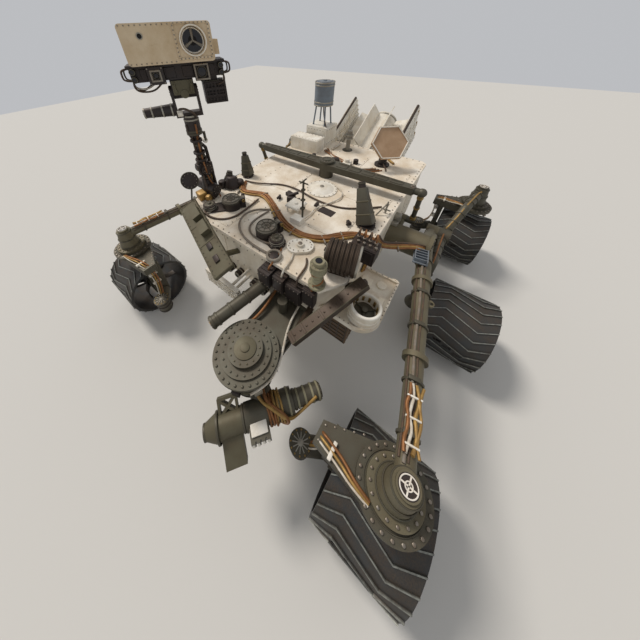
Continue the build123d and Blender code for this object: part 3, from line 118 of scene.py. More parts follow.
floor_paint = bpy.data.materials.new("floor_paint")
floor_paint.use_nodes = True
floor_tree = floor_paint.node_tree
floor_shader = floor_tree.nodes["Principled BSDF"]
floor_shader.inputs["Base Color"].default_value = tone("#C9C6C0")
floor_shader.inputs["Roughness"].default_value = 0.95
bpy.ops.mesh.primitive_plane_add(size=24.0, location=(0.0, 0.0, 0.0))
floor = settle(bpy.context.object, "floor", None, floor_paint)
scene.world = bpy.data.worlds.new("sky")
scene.world.use_nodes = True
sky = scene.world.node_tree.nodes["Background"]
sky.inputs["Color"].default_value = tone("#E8EAEE")
sky.inputs["Strength"].default_value = 0.62
sun_data = bpy.data.lights.new("sun", "SUN")
sun_data.energy = 2.2
sun_data.angle = radians(14)
sun_data.color = (1.0, 0.955, 0.9)
sun = bpy.data.objects.new("sun", sun_data)
sun.rotation_euler = (radians(28), radians(-22), radians(35))
scene.collection.objects.link(sun)
scene.view_settings.view_transform = "Standard"


# Finishes of the metal parts
# Machined and folded aluminium and titanium, anodised or covered with thermal paint. Brown
# dust lies thickest on what faces up, in patches, with a fine grain over the whole rover.
def dusty_finish(name, colour, shade, dust, share, roughness, metallic=0.0, patch_mm=90.0, grain_mm=4.0):
    """A paint or anodised finish with two tones in patches and dust on its upper faces."""
    material = bpy.data.materials.new(name)
    material.use_nodes = True
    tree = material.node_tree
    shader = tree.nodes["Principled BSDF"]
    place = add_node(tree, "ShaderNodeTexCoord").outputs["Object"]
    patches = add_node(
        tree, "ShaderNodeTexNoise", {"Scale": 1000 / patch_mm, "Detail": 5.0, "Roughness": 0.62},
        {"Vector": place},
    )
    grain = add_node(
        tree, "ShaderNodeTexNoise", {"Scale": 1000 / grain_mm, "Detail": 3.0, "Roughness": 0.7},
        {"Vector": place},
    )
    worn = add_node(
        tree, "ShaderNodeMapRange", {"From Min": 0.36, "From Max": 0.68}, {"Value": patches.outputs["Fac"]},
    )
    base = add_node(
        tree, "ShaderNodeMix", {6: tone(colour), 7: tone(shade)}, {0: worn.outputs["Result"]},
        data_type="RGBA",
    )
    facing = add_node(
        tree, "ShaderNodeSeparateXYZ", None, {0: add_node(tree, "ShaderNodeNewGeometry").outputs["Normal"]},
    )
    upward = add_node(
        tree, "ShaderNodeMapRange",
        {"From Min": -0.5, "From Max": 0.95, "To Min": share * 0.35, "To Max": share},
        {"Value": facing.outputs["Z"]},
    )
    speckle = add_node(
        tree, "ShaderNodeMapRange", {"From Min": 0.3, "From Max": 0.7, "To Min": 0.35, "To Max": 1.25},
        {"Value": grain.outputs["Fac"]},
    )
    drift = add_node(
        tree, "ShaderNodeMapRange", {"From Min": 0.3, "From Max": 0.66, "To Min": 0.45, "To Max": 1.3},
        {"Value": patches.outputs["Fac"]},
    )
    spread = add_node(
        tree, "ShaderNodeMath", None, {0: speckle.outputs["Result"], 1: drift.outputs["Result"]},
        operation="MULTIPLY",
    )
    dusted = add_node(
        tree, "ShaderNodeMath", None, {0: upward.outputs["Result"], 1: spread.outputs["Value"]},
        operation="MULTIPLY", use_clamp=True,
    )
    coat = add_node(
        tree, "ShaderNodeMix", {7: tone(dust)}, {0: dusted.outputs["Value"], 6: base.outputs[2]},
        data_type="RGBA",
    )
    gloss = add_node(
        tree, "ShaderNodeMapRange", {"To Min": roughness, "To Max": 0.93}, {"Value": dusted.outputs["Value"]},
    )
    rise = add_node(
        tree, "ShaderNodeBump", {"Strength": 0.22, "Distance": 0.0006}, {"Height": grain.outputs["Fac"]},
    )
    tree.links.new(coat.outputs[2], shader.inputs["Base Color"])
    tree.links.new(gloss.outputs["Result"], shader.inputs["Roughness"])
    tree.links.new(rise.outputs["Normal"], shader.inputs["Normal"])
    shader.inputs["Metallic"].default_value = metallic
    return material


# Thermal paint is chalky cream; anodised titanium is a dull olive grey with a soft sheen.
cream_paint = dusty_finish("cream_thermal_paint", "#EAE2D0", "#DED4BF", "#AE8C66", 0.28, 0.62)
deck_paint = dusty_finish("deck_thermal_paint", "#F2EBDC", "#E0D6C0", "#A98158", 0.36, 0.66, patch_mm=140.0)
olive_anodised = dusty_finish("olive_anodised_titanium", "#4F4E42", "#3B3A31", "#7A664D", 0.22, 0.46, 0.35)
bronze_anodised = dusty_finish("bronze_anodised_aluminium", "#3C3229", "#2B251F", "#75593E", 0.22, 0.42, 0.45)
black_anodised = dusty_finish("black_anodised_aluminium", "#29282A", "#1C1B1E", "#705640", 0.24, 0.42, 0.4)
grey_enamel = dusty_finish("grey_enamel", "#8A877C", "#716E64", "#8F6E4E", 0.3, 0.5)
pale_grey_alodine = dusty_finish("pale_grey_aluminium", "#A5A398", "#88867B", "#93735A", 0.24, 0.4, 0.55)
white_ceramic = dusty_finish("white_ceramic_paint", "#ECE8DD", "#D8D2C2", "#B08E68", 0.24, 0.55)
beige_head_paint = dusty_finish(
    "beige_thermal_paint", "#D2C0A2", "#C0AB88", "#A67F58", 0.26, 0.6, patch_mm=120.0,
)
blue_composite = dusty_finish("blue_grey_composite", "#6F7D88", "#5C6872", "#94765A", 0.22, 0.5)
arm_titanium = dusty_finish("sandblasted_arm_titanium", "#5B5845", "#494636", "#7A6549", 0.22, 0.5, 0.35)
rocker_titanium = dusty_finish("dusted_rocker_titanium", "#66624F", "#535040", "#8A7350", 0.26, 0.48, 0.3)
sage_paint = dusty_finish("sage_green_paint", "#8E8C72", "#77745C", "#8F7452", 0.24, 0.5)
tan_radome = dusty_finish("tan_radome_paint", "#B8997A", "#A88868", "#94704A", 0.24, 0.6)
finishes = {
    cream_paint: ["hull", "belly_pan"],
    deck_paint: ["deck_panel"],
    olive_anodised: [
        "bogie_left", "bogie_right", "differential_bar", "shoulder_bracket", "shoulder_drive", "front_brace",
        "steering_yoke_front_left", "steering_yoke_front_right", "steering_yoke_rear_left",
        "steering_yoke_rear_right",
    ],
    bronze_anodised: ["arm_restraint", "power_source_carrier", "ribbed_canister"],
    black_anodised: [
        "mast", "mast_pan_drive", "mast_tilt_bar", "mast_cameras", "antenna_post", "antenna_yoke",
        "front_boxes", "hazard_cameras", "inlet_bases", "stowage_posts",
    ],
    rocker_titanium: ["rocker_left", "rocker_right"],
    grey_enamel: ["low_gain_antenna", "inlet_lid_front", "inlet_lid_rear"],
    arm_titanium: ["arm_link_root", "stowage_panel"],
    sage_paint: ["sensor_column"],
    white_ceramic: ["heat_plates", "front_radiator", "power_source", "deck_boxes"],
    beige_head_paint: ["mast_head_box"],
    blue_composite: ["helix_antenna"],
    tan_radome: ["antenna_panel"],
}
for finish, names in finishes.items():
    for name in names:
        paint(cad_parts[name], finish)


# Wheels
# Each wheel is one drum milled from aluminium and anodised black, with zigzag lugs that stand
# out of it. Stones have worn the lugs' tops to bare metal, and dust fills the drum between.
flanks = (("left", 1), ("right", -1))
wheel_radius = 0.262
front_x, middle_x, rear_x = 1.13, -0.07, -1.17
corner_y, middle_y = 1.08, 1.22
wheel_places = {
    f"{axle}_{name}": (x, side * y, wheel_radius)
    for axle, x, y in (
        ("front", front_x, corner_y), ("middle", middle_x, middle_y), ("rear", rear_x, corner_y),
    )
    for name, side in flanks
}
lug_foot_radius = 0.2545
lug_top_radius = 0.2604


def wheel_finish(name, centre):
    """Black anodised drum whose lugs turn to bare aluminium towards their tops."""
    material = dusty_finish(name, "#343A3D", "#292D2F", "#75604A", 0.3, 0.38, 0.5, 70.0, 5.0)
    tree = material.node_tree
    shader = tree.nodes["Principled BSDF"]
    coat = shader.inputs["Base Color"].links[0].from_socket
    place = add_node(tree, "ShaderNodeTexCoord").outputs["Object"]
    centred = add_node(tree, "ShaderNodeVectorMath", {1: centre}, {0: place}, operation="SUBTRACT")
    across = add_node(
        tree, "ShaderNodeVectorMath", {1: (1.0, 0.0, 1.0)}, {0: centred.outputs["Vector"]},
        operation="MULTIPLY",
    )
    reach = add_node(tree, "ShaderNodeVectorMath", None, {0: across.outputs["Vector"]}, operation="LENGTH")
    rub = add_node(
        tree, "ShaderNodeMapRange", {"From Min": lug_foot_radius, "From Max": lug_top_radius},
        {"Value": reach.outputs["Value"]},
    )
    scuff = add_node(tree, "ShaderNodeTexNoise", {"Scale": 60.0, "Detail": 4.0}, {"Vector": place})
    patchy = add_node(
        tree, "ShaderNodeMapRange", {"From Min": 0.3, "From Max": 0.62, "To Min": 0.3, "To Max": 1.0},
        {"Value": scuff.outputs["Fac"]},
    )
    bare = add_node(
        tree, "ShaderNodeMath", None, {0: rub.outputs["Result"], 1: patchy.outputs["Result"]},
        operation="MULTIPLY",
    )
    worn = add_node(
        tree, "ShaderNodeMix", {7: tone("#8F9088")}, {0: bare.outputs["Value"], 6: coat}, data_type="RGBA",
    )
    tree.links.new(worn.outputs[2], shader.inputs["Base Color"])
    return material


for name, centre in wheel_places.items():
    paint(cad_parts[f"wheel_{name}"], wheel_finish(f"wheel_finish_{name}", centre))


# Hub caps and their bolts
# A machined cap closes each hub, with a ring of screws round it.
upright = Matrix.Identity(4)


def turned(angle, axis):
    """A turn by an angle in degrees about an axis."""
    return Matrix.Rotation(radians(angle), 4, axis)


def rod(start, end, radius, sides=20, end_radius=None):
    """A round bar or cone between two points."""
    start, end = Vector(start), Vector(end)
    along = end - start
    turn = along.to_track_quat("Z", "Y").to_euler()
    middle = (start + end) / 2
    if end_radius is None:
        bpy.ops.mesh.primitive_cylinder_add(
            vertices=sides, radius=radius, depth=along.length, location=middle, rotation=turn,
        )
    else:
        bpy.ops.mesh.primitive_cone_add(
            vertices=sides, radius1=radius, radius2=end_radius, depth=along.length, location=middle,
            rotation=turn,
        )
    return bpy.context.object


def slab(centre, size, turn=(0.0, 0.0, 0.0)):
    """A block of a size about its centre, turned by three angles in degrees."""
    bpy.ops.mesh.primitive_cube_add(size=1.0, location=centre, rotation=[radians(angle) for angle in turn])
    block = bpy.context.object
    block.scale = size
    bpy.ops.object.transform_apply(location=False, rotation=False, scale=True)
    return block


def soften(piece, width, segments=2, limit=35.0):
    """Rounds the sharp edges of a piece."""
    bpy.context.view_layer.objects.active = piece
    bevel = piece.modifiers.new("edges", "BEVEL")
    bevel.width = width
    bevel.segments = segments
    bevel.limit_method = "ANGLE"
    bevel.angle_limit = radians(limit)
    bpy.ops.object.modifier_apply(modifier=bevel.name)
    return piece


def joined(pieces):
    """Joins several pieces into one."""
    bpy.ops.object.select_all(action="DESELECT")
    for piece in pieces:
        piece.select_set(True)
    bpy.context.view_layer.objects.active = pieces[0]
    bpy.ops.object.join()
    return bpy.context.object


def trim(name, finish, pieces, edge=0.0, segments=2, body="rover_body"):
    """Joins pieces into one, rounds its edges and settles it on its body, mostly the rover's."""
    piece = joined(pieces) if isinstance(pieces, list) else pieces
    if edge:
        soften(piece, edge, segments)
    return settle(piece, name, body, finish)


def set_at(piece, matrices):
    """Copies a piece to several places, each copy with its own mesh, and joins them."""
    copies = []
    for matrix in matrices:
        twin = piece.copy()
        twin.data = piece.data.copy()
        twin.matrix_world = matrix @ piece.matrix_world
        scene.collection.objects.link(twin)
        copies.append(twin)
    bpy.data.objects.remove(piece)
    return joined(copies)


def screw(radius, height):
    """A domed screw head that stands on the origin."""
    return soften(rod((0, 0, -0.3 * height), (0, 0, height), radius, 10), radius * 0.42)


def screw_ring(centre, circle, count, radius=0.0052, height=0.005, turn=upright, phase=0.0):
    """A ring of screws about an axis that points up, or along the turned Z axis."""
    base = Matrix.Translation(Vector(centre)) @ turn
    angles = [2 * pi * number / count + phase for number in range(count)]
    return set_at(screw(radius, height), [
        base @ Matrix.Translation((circle * cos(angle), circle * sin(angle), 0.0))
        for angle in angles
    ])


def screw_line(start, end, count, radius=0.004, height=0.003, turn=upright):
    """A row of screws from one point to another."""
    start, end = Vector(start), Vector(end)
    steps = [start.lerp(end, number / (count - 1)) for number in range(count)]
    return set_at(screw(radius, height), [Matrix.Translation(step) @ turn for step in steps])


def ring_band(centre, radius, gauge, turn=upright, sides=48):
    """A clamp band about an axis, 3.2 gauges deep and 1.8 gauges thick, with rounded edges."""
    bpy.ops.mesh.primitive_cylinder_add(
        vertices=sides, radius=radius, depth=3.2 * gauge, end_fill_type="NOTHING",
    )
    band = bpy.context.object
    wall = band.modifiers.new("wall", "SOLIDIFY")
    wall.thickness = 1.8 * gauge
    wall.offset = 0.0
    bpy.ops.object.modifier_apply(modifier=wall.name)
    soften(band, 0.45 * gauge, 1, 50.0)
    band.matrix_world = Matrix.Translation(Vector(centre)) @ turn
    return band


steel = dusty_finish("stainless_screws", "#8E8A82", "#77726A", "#8C6A48", 0.3, 0.32, 0.85, 30.0, 2.0)
gold_screws = dusty_finish(
    "zinc_passivated_screws", "#A88D55", "#8B7345", "#8C6A48", 0.25, 0.35, 0.8, 30.0, 2.0,
)
hub_face_y = 0.07
hub_cap_foot_y, hub_cap_top_y = 0.083, 0.092
for name, (x, y, z) in wheel_places.items():
    side = 1 if y > 0 else -1
    face = turned(-90 * side, "X")
    trim(
        f"hub_screws_{name}", steel, screw_ring((x, y + side * hub_face_y, z), 0.06, 12, 0.0045, 0.004, face),
        body=f"wheel_{name}",
    )
    trim(
        f"hub_cap_{name}", pale_grey_alodine,
        rod((x, y + side * hub_cap_foot_y, z), (x, y + side * hub_cap_top_y, z), 0.026, 24), 0.003,
        body=f"wheel_{name}",
    )


# Steering heads and yokes
# Titanium housings bolted together: a cone on a ring above, the yoke's flange below it with two
# circles of domed screws, and a round sighting marker of plain white rings on the cap.
marker_white = dusty_finish("white_marker_paint", "#EDE9DF", "#DDD6C8", "#B08E68", 0.22, 0.5, grain_mm=2.0)
corners = {name: (x, y) for name, (x, y, z) in wheel_places.items() if "middle" not in name}
flange_top, ring_top, cap_top = 0.666, 0.692, 0.86
marker_top = cap_top + 0.0015
cross_middle = cap_top + 0.0018
motor_top = 0.33
for name, (x, y) in corners.items():
    side = 1 if y > 0 else -1
    yoke = f"yoke_{name}"
    trim(f"head_screws_{name}", steel, screw_ring((x, y, ring_top), 0.091, 16, 0.0062, 0.006))
    trim(f"flange_screws_{name}", steel, screw_ring((x, y, flange_top), 0.127, 22, 0.0068, 0.007), body=yoke)
    trim(f"flange_band_{name}", olive_anodised, ring_band((x, y, flange_top), 0.1115, 0.0026), body=yoke)
    trim(f"head_bands_{name}", olive_anodised, [
        ring_band((x, y, height), radius, 0.003)
        for height, radius in ((0.706, 0.0735), (0.77, 0.063), (0.836, 0.0505))
    ])
    trim(
        f"marker_field_{name}", black_anodised, rod((x, y, cap_top), (x, y, marker_top), 0.034, 40), 0.0005,
        1,
    )
    rings = [ring_band((x, y, marker_top), radius, 0.0022, sides=40) for radius in (0.012, 0.029)]
    bars = [slab((x, y, cross_middle), (*size, 0.0012)) for size in ((0.058, 0.005), (0.005, 0.058))]
    trim(f"marker_rings_{name}", marker_white, rings + bars)
    drum_x, drum_y = x + 0.075, y - side * 0.375
    trim(
        f"motor_screws_{name}", gold_screws,
        screw_ring((drum_x, drum_y, motor_top), 0.053, 12, 0.0046, 0.004), body=yoke,
    )
    ribs = [
        slab((drum_x, drum_y, 0.3325), (0.088, 0.0045, 0.005), (0, 0, 30 * number))
        for number in range(6)
    ]
    boss = soften(rod((drum_x, drum_y, motor_top), (drum_x, drum_y, 0.338), 0.016, 20), 0.002)
    trim(f"motor_ribs_{name}", pale_grey_alodine, ribs + [boss], body=yoke)
    trim(f"motor_bands_{name}", black_anodised, [
        ring_band((drum_x, drum_y, height), 0.0535, 0.0035)
        for height in (0.215, 0.262, 0.3)
    ], body=yoke)
    near_y, far_y = y - side * 0.15, y - side * 0.3
    trim(f"wedge_screws_{name}", steel, [
        screw_line((x - 0.085, near_y, 0.644), (x - 0.008, far_y, 0.644), 5, 0.005, 0.004),
        screw_line((x + 0.09, near_y, 0.644), (x + 0.055, far_y, 0.6445), 5, 0.005, 0.004),
    ], body=yoke)


# Harnesses on the suspension
# Twisted wires in copper and white tape run along the tubes in clamps, from the hull to the
# steering and wheel motors, and lie fixed on the metal all the way.
def aimed(direction):
    """A turn that takes the Z axis to a direction."""
    return direction.to_track_quat("Z", "Y").to_matrix().to_4x4()


def cable(name, points, radius, material, detail=6, body="rover_body"):
    """A fixed cable that follows its clamps as one smooth tube."""
    curve = bpy.data.curves.new(name, "CURVE")
    curve.dimensions = "3D"
    curve.bevel_depth = radius
    curve.bevel_resolution = 2
    curve.use_fill_caps = True
    spline = curve.splines.new("NURBS")
    spline.points.add(len(points) - 1)
    for point, place in zip(spline.points, points):
        point.co = (*place, 1.0)
    spline.order_u = 3
    spline.use_endpoint_u = True
    spline.resolution_u = detail
    tube = bpy.data.objects.new(name, curve)
    scene.collection.objects.link(tube)
    bpy.ops.object.select_all(action="DESELECT")
    tube.select_set(True)
    bpy.context.view_layer.objects.active = tube
    bpy.ops.object.convert(target="MESH")
    return settle(bpy.context.object, name, body, material, 60.0)


def wrapped_finish(name, colour, shade, wrap_mm, roughness, metallic):
    """Tape wound round a bundle of wires: fine bands, each a little lighter or darker."""
    material = dusty_finish(name, colour, shade, "#94704A", 0.35, roughness, metallic, 30.0, 3.0)
    tree = material.node_tree
    shader = tree.nodes["Principled BSDF"]
    place = add_node(tree, "ShaderNodeTexCoord").outputs["Object"]
    waves = add_node(
        tree, "ShaderNodeTexWave", {"Scale": 1000 / wrap_mm / 20, "Distortion": 1.5}, {"Vector": place},
        bands_direction="DIAGONAL",
    )
    rise = add_node(
        tree, "ShaderNodeBump", {"Strength": 0.5, "Distance": 0.001}, {"Height": waves.outputs["Fac"]},
    )
    tree.links.new(rise.outputs["Normal"], shader.inputs["Normal"])
    return material


copper_wrap = wrapped_finish("copper_taped_harness", "#94623A", "#6F4526", 6.0, 0.4, 0.55)
gold_wrap = wrapped_finish("amber_film_harness", "#B08E4C", "#846632", 5.0, 0.38, 0.4)
white_sleeve = wrapped_finish("white_braided_sleeve", "#DEDACE", "#BDB5A3", 4.0, 0.7, 0.0)
black_sleeve = wrapped_finish("black_braided_sleeve", "#2B2A2C", "#1E1D1F", 4.0, 0.6, 0.0)
grey_sleeve = wrapped_finish("grey_braided_sleeve", "#77756E", "#5E5C55", 4.0, 0.6, 0.0)
rocker_angle = 10.7
first_share = 0.02
up = Vector((0.0, 0.0, 1.0))
for name, side in flanks:
    bend = Vector((-0.09, side * 0.85, 0.83))
    run = Vector((front_x, side * corner_y, 0.796)) - bend
    inner = Vector((run.y, -run.x, 0.0)).normalized() * side
    for label, radius, lift, offset, last_share, finish in (
        ("copper", 0.007, 0.047, 0.016, 0.955, grey_sleeve),
        ("black", 0.0045, 0.047, -0.002, 0.95, black_sleeve),
        ("dark", 0.0055, 0.03, 0.036, 0.945, black_sleeve),
    ):
        points = [Vector((-0.12, side * 0.64, 0.905)), Vector((-0.1, side * 0.76, 0.915))]
        for number in range(9):
            share = first_share + (last_share - first_share) * number / 8
            shrink = 1.0 - 0.22 * share
            sway = 0.004 * sin(number * 2.1 + lift * 90)
            points.append(bend + run * share + (up * lift + inner * (offset + sway)) * shrink)
        cable(f"rocker_{label}_harness_{name}", points, radius, finish)
    trim(f"rocker_clips_{name}", olive_anodised, [
        ring_band(bend + run * share, 0.05 - 0.01 * share, 0.0038, aimed(run), 36)
        for share in (0.12, 0.33, 0.5, 0.72, 0.88)
    ])
    level_turn = (0, 0, side * rocker_angle)
    trim(f"rocker_harness_clamps_{name}", olive_anodised, [
        slab(bend + run * share + up * 0.047 + inner * 0.006, (0.02, 0.05, 0.016), level_turn)
        for share in (0.33, 0.5, 0.72, 0.88)
    ], 0.003)
    for number, (shift, radius, finish) in enumerate((
        (-0.012, 0.0075, gold_wrap), (0.008, 0.0055, white_sleeve), (0.022, 0.0075, copper_wrap),
        (-0.024, 0.006, gold_wrap),
    )):
        points = []
        for place in range(7):
            share = 0.74 + 0.032 * place
            bulge = 0.046 + 0.012 * sin(place * 1.3 + number * 1.9) ** 2
            sway = 0.008 * cos(place * 2.0 + number)
            points.append(bend + run * share + up * bulge + inner * (shift + sway))
        cable(f"rocker_end_harness_{number}_{name}", points, radius, finish)
    trim(f"rocker_end_ties_{name}", white_ceramic, [
        slab(bend + run * share + up * 0.052, (0.008, 0.058, 0.016), level_turn)
        for share in (0.78, 0.84, 0.91)
    ], 0.003)
    trim(f"pivot_sockets_{name}", pale_grey_alodine, [
        slab((-0.12 + shift, side * 0.612, 0.915 + rise), (0.05, 0.046, 0.036))
        for shift, rise in ((-0.05, 0.0), (0.02, 0.01), (-0.02, 0.05))
    ], 0.003)
    tube_turn = (0, 1.5, side * rocker_angle)
    bracket = [slab((0.08, side * 0.846, 0.884), (0.12, 0.086, 0.01), tube_turn)]
    bracket += [
        slab((0.034 + 0.023 * number, side * (0.838 + 0.004 * number), 0.9), (0.006, 0.08, 0.03), tube_turn)
        for number in range(5)
    ]
    bracket += [
        slab((0.08, side * (0.846 + shift), 0.9), (0.116, 0.005, 0.032), tube_turn)
        for shift in (-0.036, 0.036)
    ]
    trim(f"rocker_bracket_{name}", blue_composite, bracket, 0.0015, 1)
    for number in range(4):
        shift = 0.016 * number
        cable(f"pivot_bundle_{number}_{name}", [
            (0.31 - shift, side * 0.596, 1.086), (0.3 - shift, side * 0.616, 1.04),
            (0.24 - shift, side * 0.64, 0.98), (0.15 - shift, side * 0.7, 0.93 + 0.3 * shift),
            (0.08 - shift, side * 0.77, 0.92), (0.04 - shift, side * 0.82, 0.908),
            (0.02 - shift, side * 0.846, 0.89),
        ], 0.008 if number % 2 else 0.0065, (copper_wrap, gold_wrap, copper_wrap, black_sleeve)[number])
    trim(
        f"pivot_bundle_tie_{name}", grey_enamel,
        slab((0.126, side * 0.702, 0.932), (0.078, 0.008, 0.026), (0, 0, side * 30)), 0.003,
    )
for name, (x, y) in corners.items():
    side = 1 if y > 0 else -1
    yoke = f"yoke_{name}"
    for label, radius, shift, finish in (
        ("gold", 0.0062, 0.0, gold_wrap), ("white", 0.0042, 0.016, white_sleeve),
        ("copper", 0.007, -0.018, copper_wrap),
    ):
        points = [
            (x + 0.095 + shift * 0.4, y - side * 0.06, 0.668),
            (x + 0.09 + shift * 0.6, y - side * 0.12, 0.672 + radius),
            (x + 0.066 + shift, y - side * 0.18, 0.654 + radius),
            (x + 0.05 + shift, y - side * 0.25, 0.652 + radius), (x + 0.036 + shift, y - side * 0.312, 0.64),
            (x + 0.03 + shift, y - side * 0.296, 0.56), (x + 0.02 + shift, y - side * 0.284, 0.47),
            (x + 0.03 + shift, y - side * 0.29, 0.37), (x + 0.052 + shift, y - side * 0.33, 0.325),
            (x + 0.062 + shift * 0.5, y - side * 0.345, 0.312),
        ]
        cable(f"yoke_{label}_harness_{name}", points, radius, finish, body=yoke)
    trim(f"yoke_harness_clamps_{name}", white_ceramic, [
        slab((x + 0.05, y - side * 0.236, 0.654), (0.07, 0.016, 0.018)),
        *(slab((x + 0.02, y - side * 0.27, height), (0.066, 0.026, 0.014)) for height in (0.52, 0.42)),
    ], 0.003, body=yoke)
    trim(f"yoke_plugs_{name}", steel, [
        rod((x + shift, y + side * 0.085, 0.636), (x + shift, y + side * 0.112, 0.61), 0.013, 16)
        for shift in (-0.05, -0.02, 0.06)
    ], 0.002, body=yoke)


# Rocker and bogie pivots
# Turned housings with a cover that is screwed on. The tubes are bonded into sockets, each with
# a collar of screws.
for name, side in flanks:
    out_turn = turned(-90 * side, "X")
    trim(
        f"pivot_cover_{name}", olive_anodised,
        rod((-0.09, side * 0.8795, 0.83), (-0.09, side * 0.8875, 0.83), 0.07, 40), 0.003,
    )
    trim(
        f"pivot_screws_{name}", steel,
        screw_ring((-0.09, side * 0.88, 0.83), 0.1, 18, 0.006, 0.006, out_turn),
    )
    bogie_end = side * 0.99
    trim(
        f"bogie_cover_{name}", olive_anodised,
        rod((-0.6, bogie_end - side * 0.001, 0.6), (-0.6, bogie_end + side * 0.007, 0.6), 0.05, 36), 0.003,
    )
    trim(f"bogie_screws_{name}", steel, screw_ring((-0.6, bogie_end, 0.6), 0.058, 10, 0.004, 0.005, out_turn))
    bogie_y = side * 0.94
    pivot = Vector((-0.6, bogie_y, 0.6))
    strut = [pivot, Vector((-0.2, bogie_y, 0.63)), Vector((middle_x, bogie_y, wheel_radius))]
    arm = [pivot, Vector((-0.86, side * 1.01, 0.77)), Vector((rear_x, side * corner_y, 0.796))]
    trim(f"bogie_clips_{name}", olive_anodised, [
        ring_band(start.lerp(end, share), 0.0365, 0.0036, aimed(end - start), 32)
        for start, end in (strut[:2], strut[1:], arm[:2], arm[1:])
        for share in (0.25, 0.5, 0.78)
    ])
    top = up * 0.037
    points = [
        strut[0] + Vector((0.05, 0, 0.06)), strut[0].lerp(strut[1], 0.3) + top,
        strut[0].lerp(strut[1], 0.75) + top, strut[1] + top * 1.1, strut[1] + Vector((0.045, 0, 0.01)),
        strut[1].lerp(strut[2], 0.35) + Vector((0.036, 0, 0)),
        strut[1].lerp(strut[2], 0.7) + Vector((0.038, 0, 0)), strut[2] + Vector((0.03, 0, 0.052)),
    ]
    cable(f"middle_harness_{name}", points, 0.0062, copper_wrap)
    points = [
        arm[0] + Vector((-0.03, 0, 0.062)), arm[0].lerp(arm[1], 0.4) + top, arm[1] + top,
        arm[1].lerp(arm[2], 0.4) + top, arm[1].lerp(arm[2], 0.8) + top * 1.05,
        arm[2] + Vector((0.055, 0, 0.035)),
    ]
    cable(f"rear_harness_{name}", points, 0.0062, gold_wrap)


# Arm shoulder
# A stepped titanium drum on the front of the hull, bolted in two circles on its top, with
# clamp bands round its side and the motor's copper-taped harness coiled over it.
shoulder_x, shoulder_y = 1.165, 0.345


def heading(angle):
    """A level direction at an angle in degrees."""
    return Vector((cos(radians(angle)), sin(radians(angle)), 0.0))


trim(
    "shoulder_flange_screws", olive_anodised,
    screw_ring((shoulder_x, shoulder_y, 0.858), 0.145, 28, 0.0062, 0.006),
)
trim(
    "shoulder_step_screws", olive_anodised,
    screw_ring((shoulder_x, shoulder_y, 0.87), 0.108, 20, 0.005, 0.005, phase=0.1),
)
trim(
    "shoulder_cap_screws", arm_titanium, screw_ring((shoulder_x, shoulder_y, 0.892), 0.07, 14, 0.0042, 0.004),
)
trim("shoulder_cap_discs", arm_titanium, [
    soften(rod((shoulder_x, shoulder_y, 0.8915), (shoulder_x, shoulder_y, 0.8975), 0.054, 44), 0.002),
    soften(rod((shoulder_x, shoulder_y, 0.897), (shoulder_x, shoulder_y, 0.903), 0.022, 28), 0.002),
])
trim("shoulder_bands", arm_titanium, [
    ring_band((shoulder_x, shoulder_y, height), radius, 0.0042)
    for height, radius in ((0.716, 0.1335), (0.76, 0.1335), (0.812, 0.1335), (0.832, 0.136))
])
trim("shoulder_rib_screws", steel, screw_ring((shoulder_x, shoulder_y, 0.796), 0.1375, 24, 0.0036, 0.003))
trim("turret_bands", arm_titanium, [
    ring_band((shoulder_x, shoulder_y, height), 0.113, 0.004)
    for height in (0.58, 0.612, 0.65, 0.682)
], body="shoulder_turret")
for number, (angle, height) in enumerate(((20, 0.74), (62, 0.738), (118, 0.742), (-28, 0.744), (-70, 0.74))):
    place = Vector((shoulder_x, shoulder_y, height)) + heading(angle) * 0.142
    trim(
        f"shoulder_connector_{number}", pale_grey_alodine if number % 2 else black_anodised,
        slab(place, (0.024, 0.04, 0.046), (0, 0, angle)), 0.003,
    )
cable("shoulder_copper_loop", [
    (0.812, 0.25, 0.87), (0.88, 0.262, 0.866), (0.96, 0.27, 0.862), (1.03, 0.262, 0.85), (1.07, 0.215, 0.8),
    (1.12, 0.192, 0.776), (1.18, 0.188, 0.77), (1.25, 0.214, 0.768),
], 0.0085, copper_wrap)
cable("shoulder_white_loop", [
    (0.812, 0.41, 0.85), (0.9, 0.42, 0.846), (0.99, 0.452, 0.85), (1.06, 0.484, 0.83), (1.12, 0.5, 0.8),
    (1.2, 0.5, 0.79), (1.268, 0.462, 0.78),
], 0.006, white_sleeve)

# Arm's lifting drive and the root of its first link: housings in line on one axis, a grey-green
# motor at one end and a cone at the other, wrapped where the harness crosses them.
lift_angle = 145
lift_along = heading(lift_angle)
lift_out = Vector((lift_along.y, -lift_along.x, 0.0))
lift_middle = Vector((shoulder_x, shoulder_y, 0.59)) + lift_out * 0.186
lift_turn = aimed(lift_along)


def on_lift(distance, out=0.0, rise=0.0):
    """A point at a distance along the lifting axis, out from it and above it."""
    return lift_middle + lift_along * distance + lift_out * out + up * rise


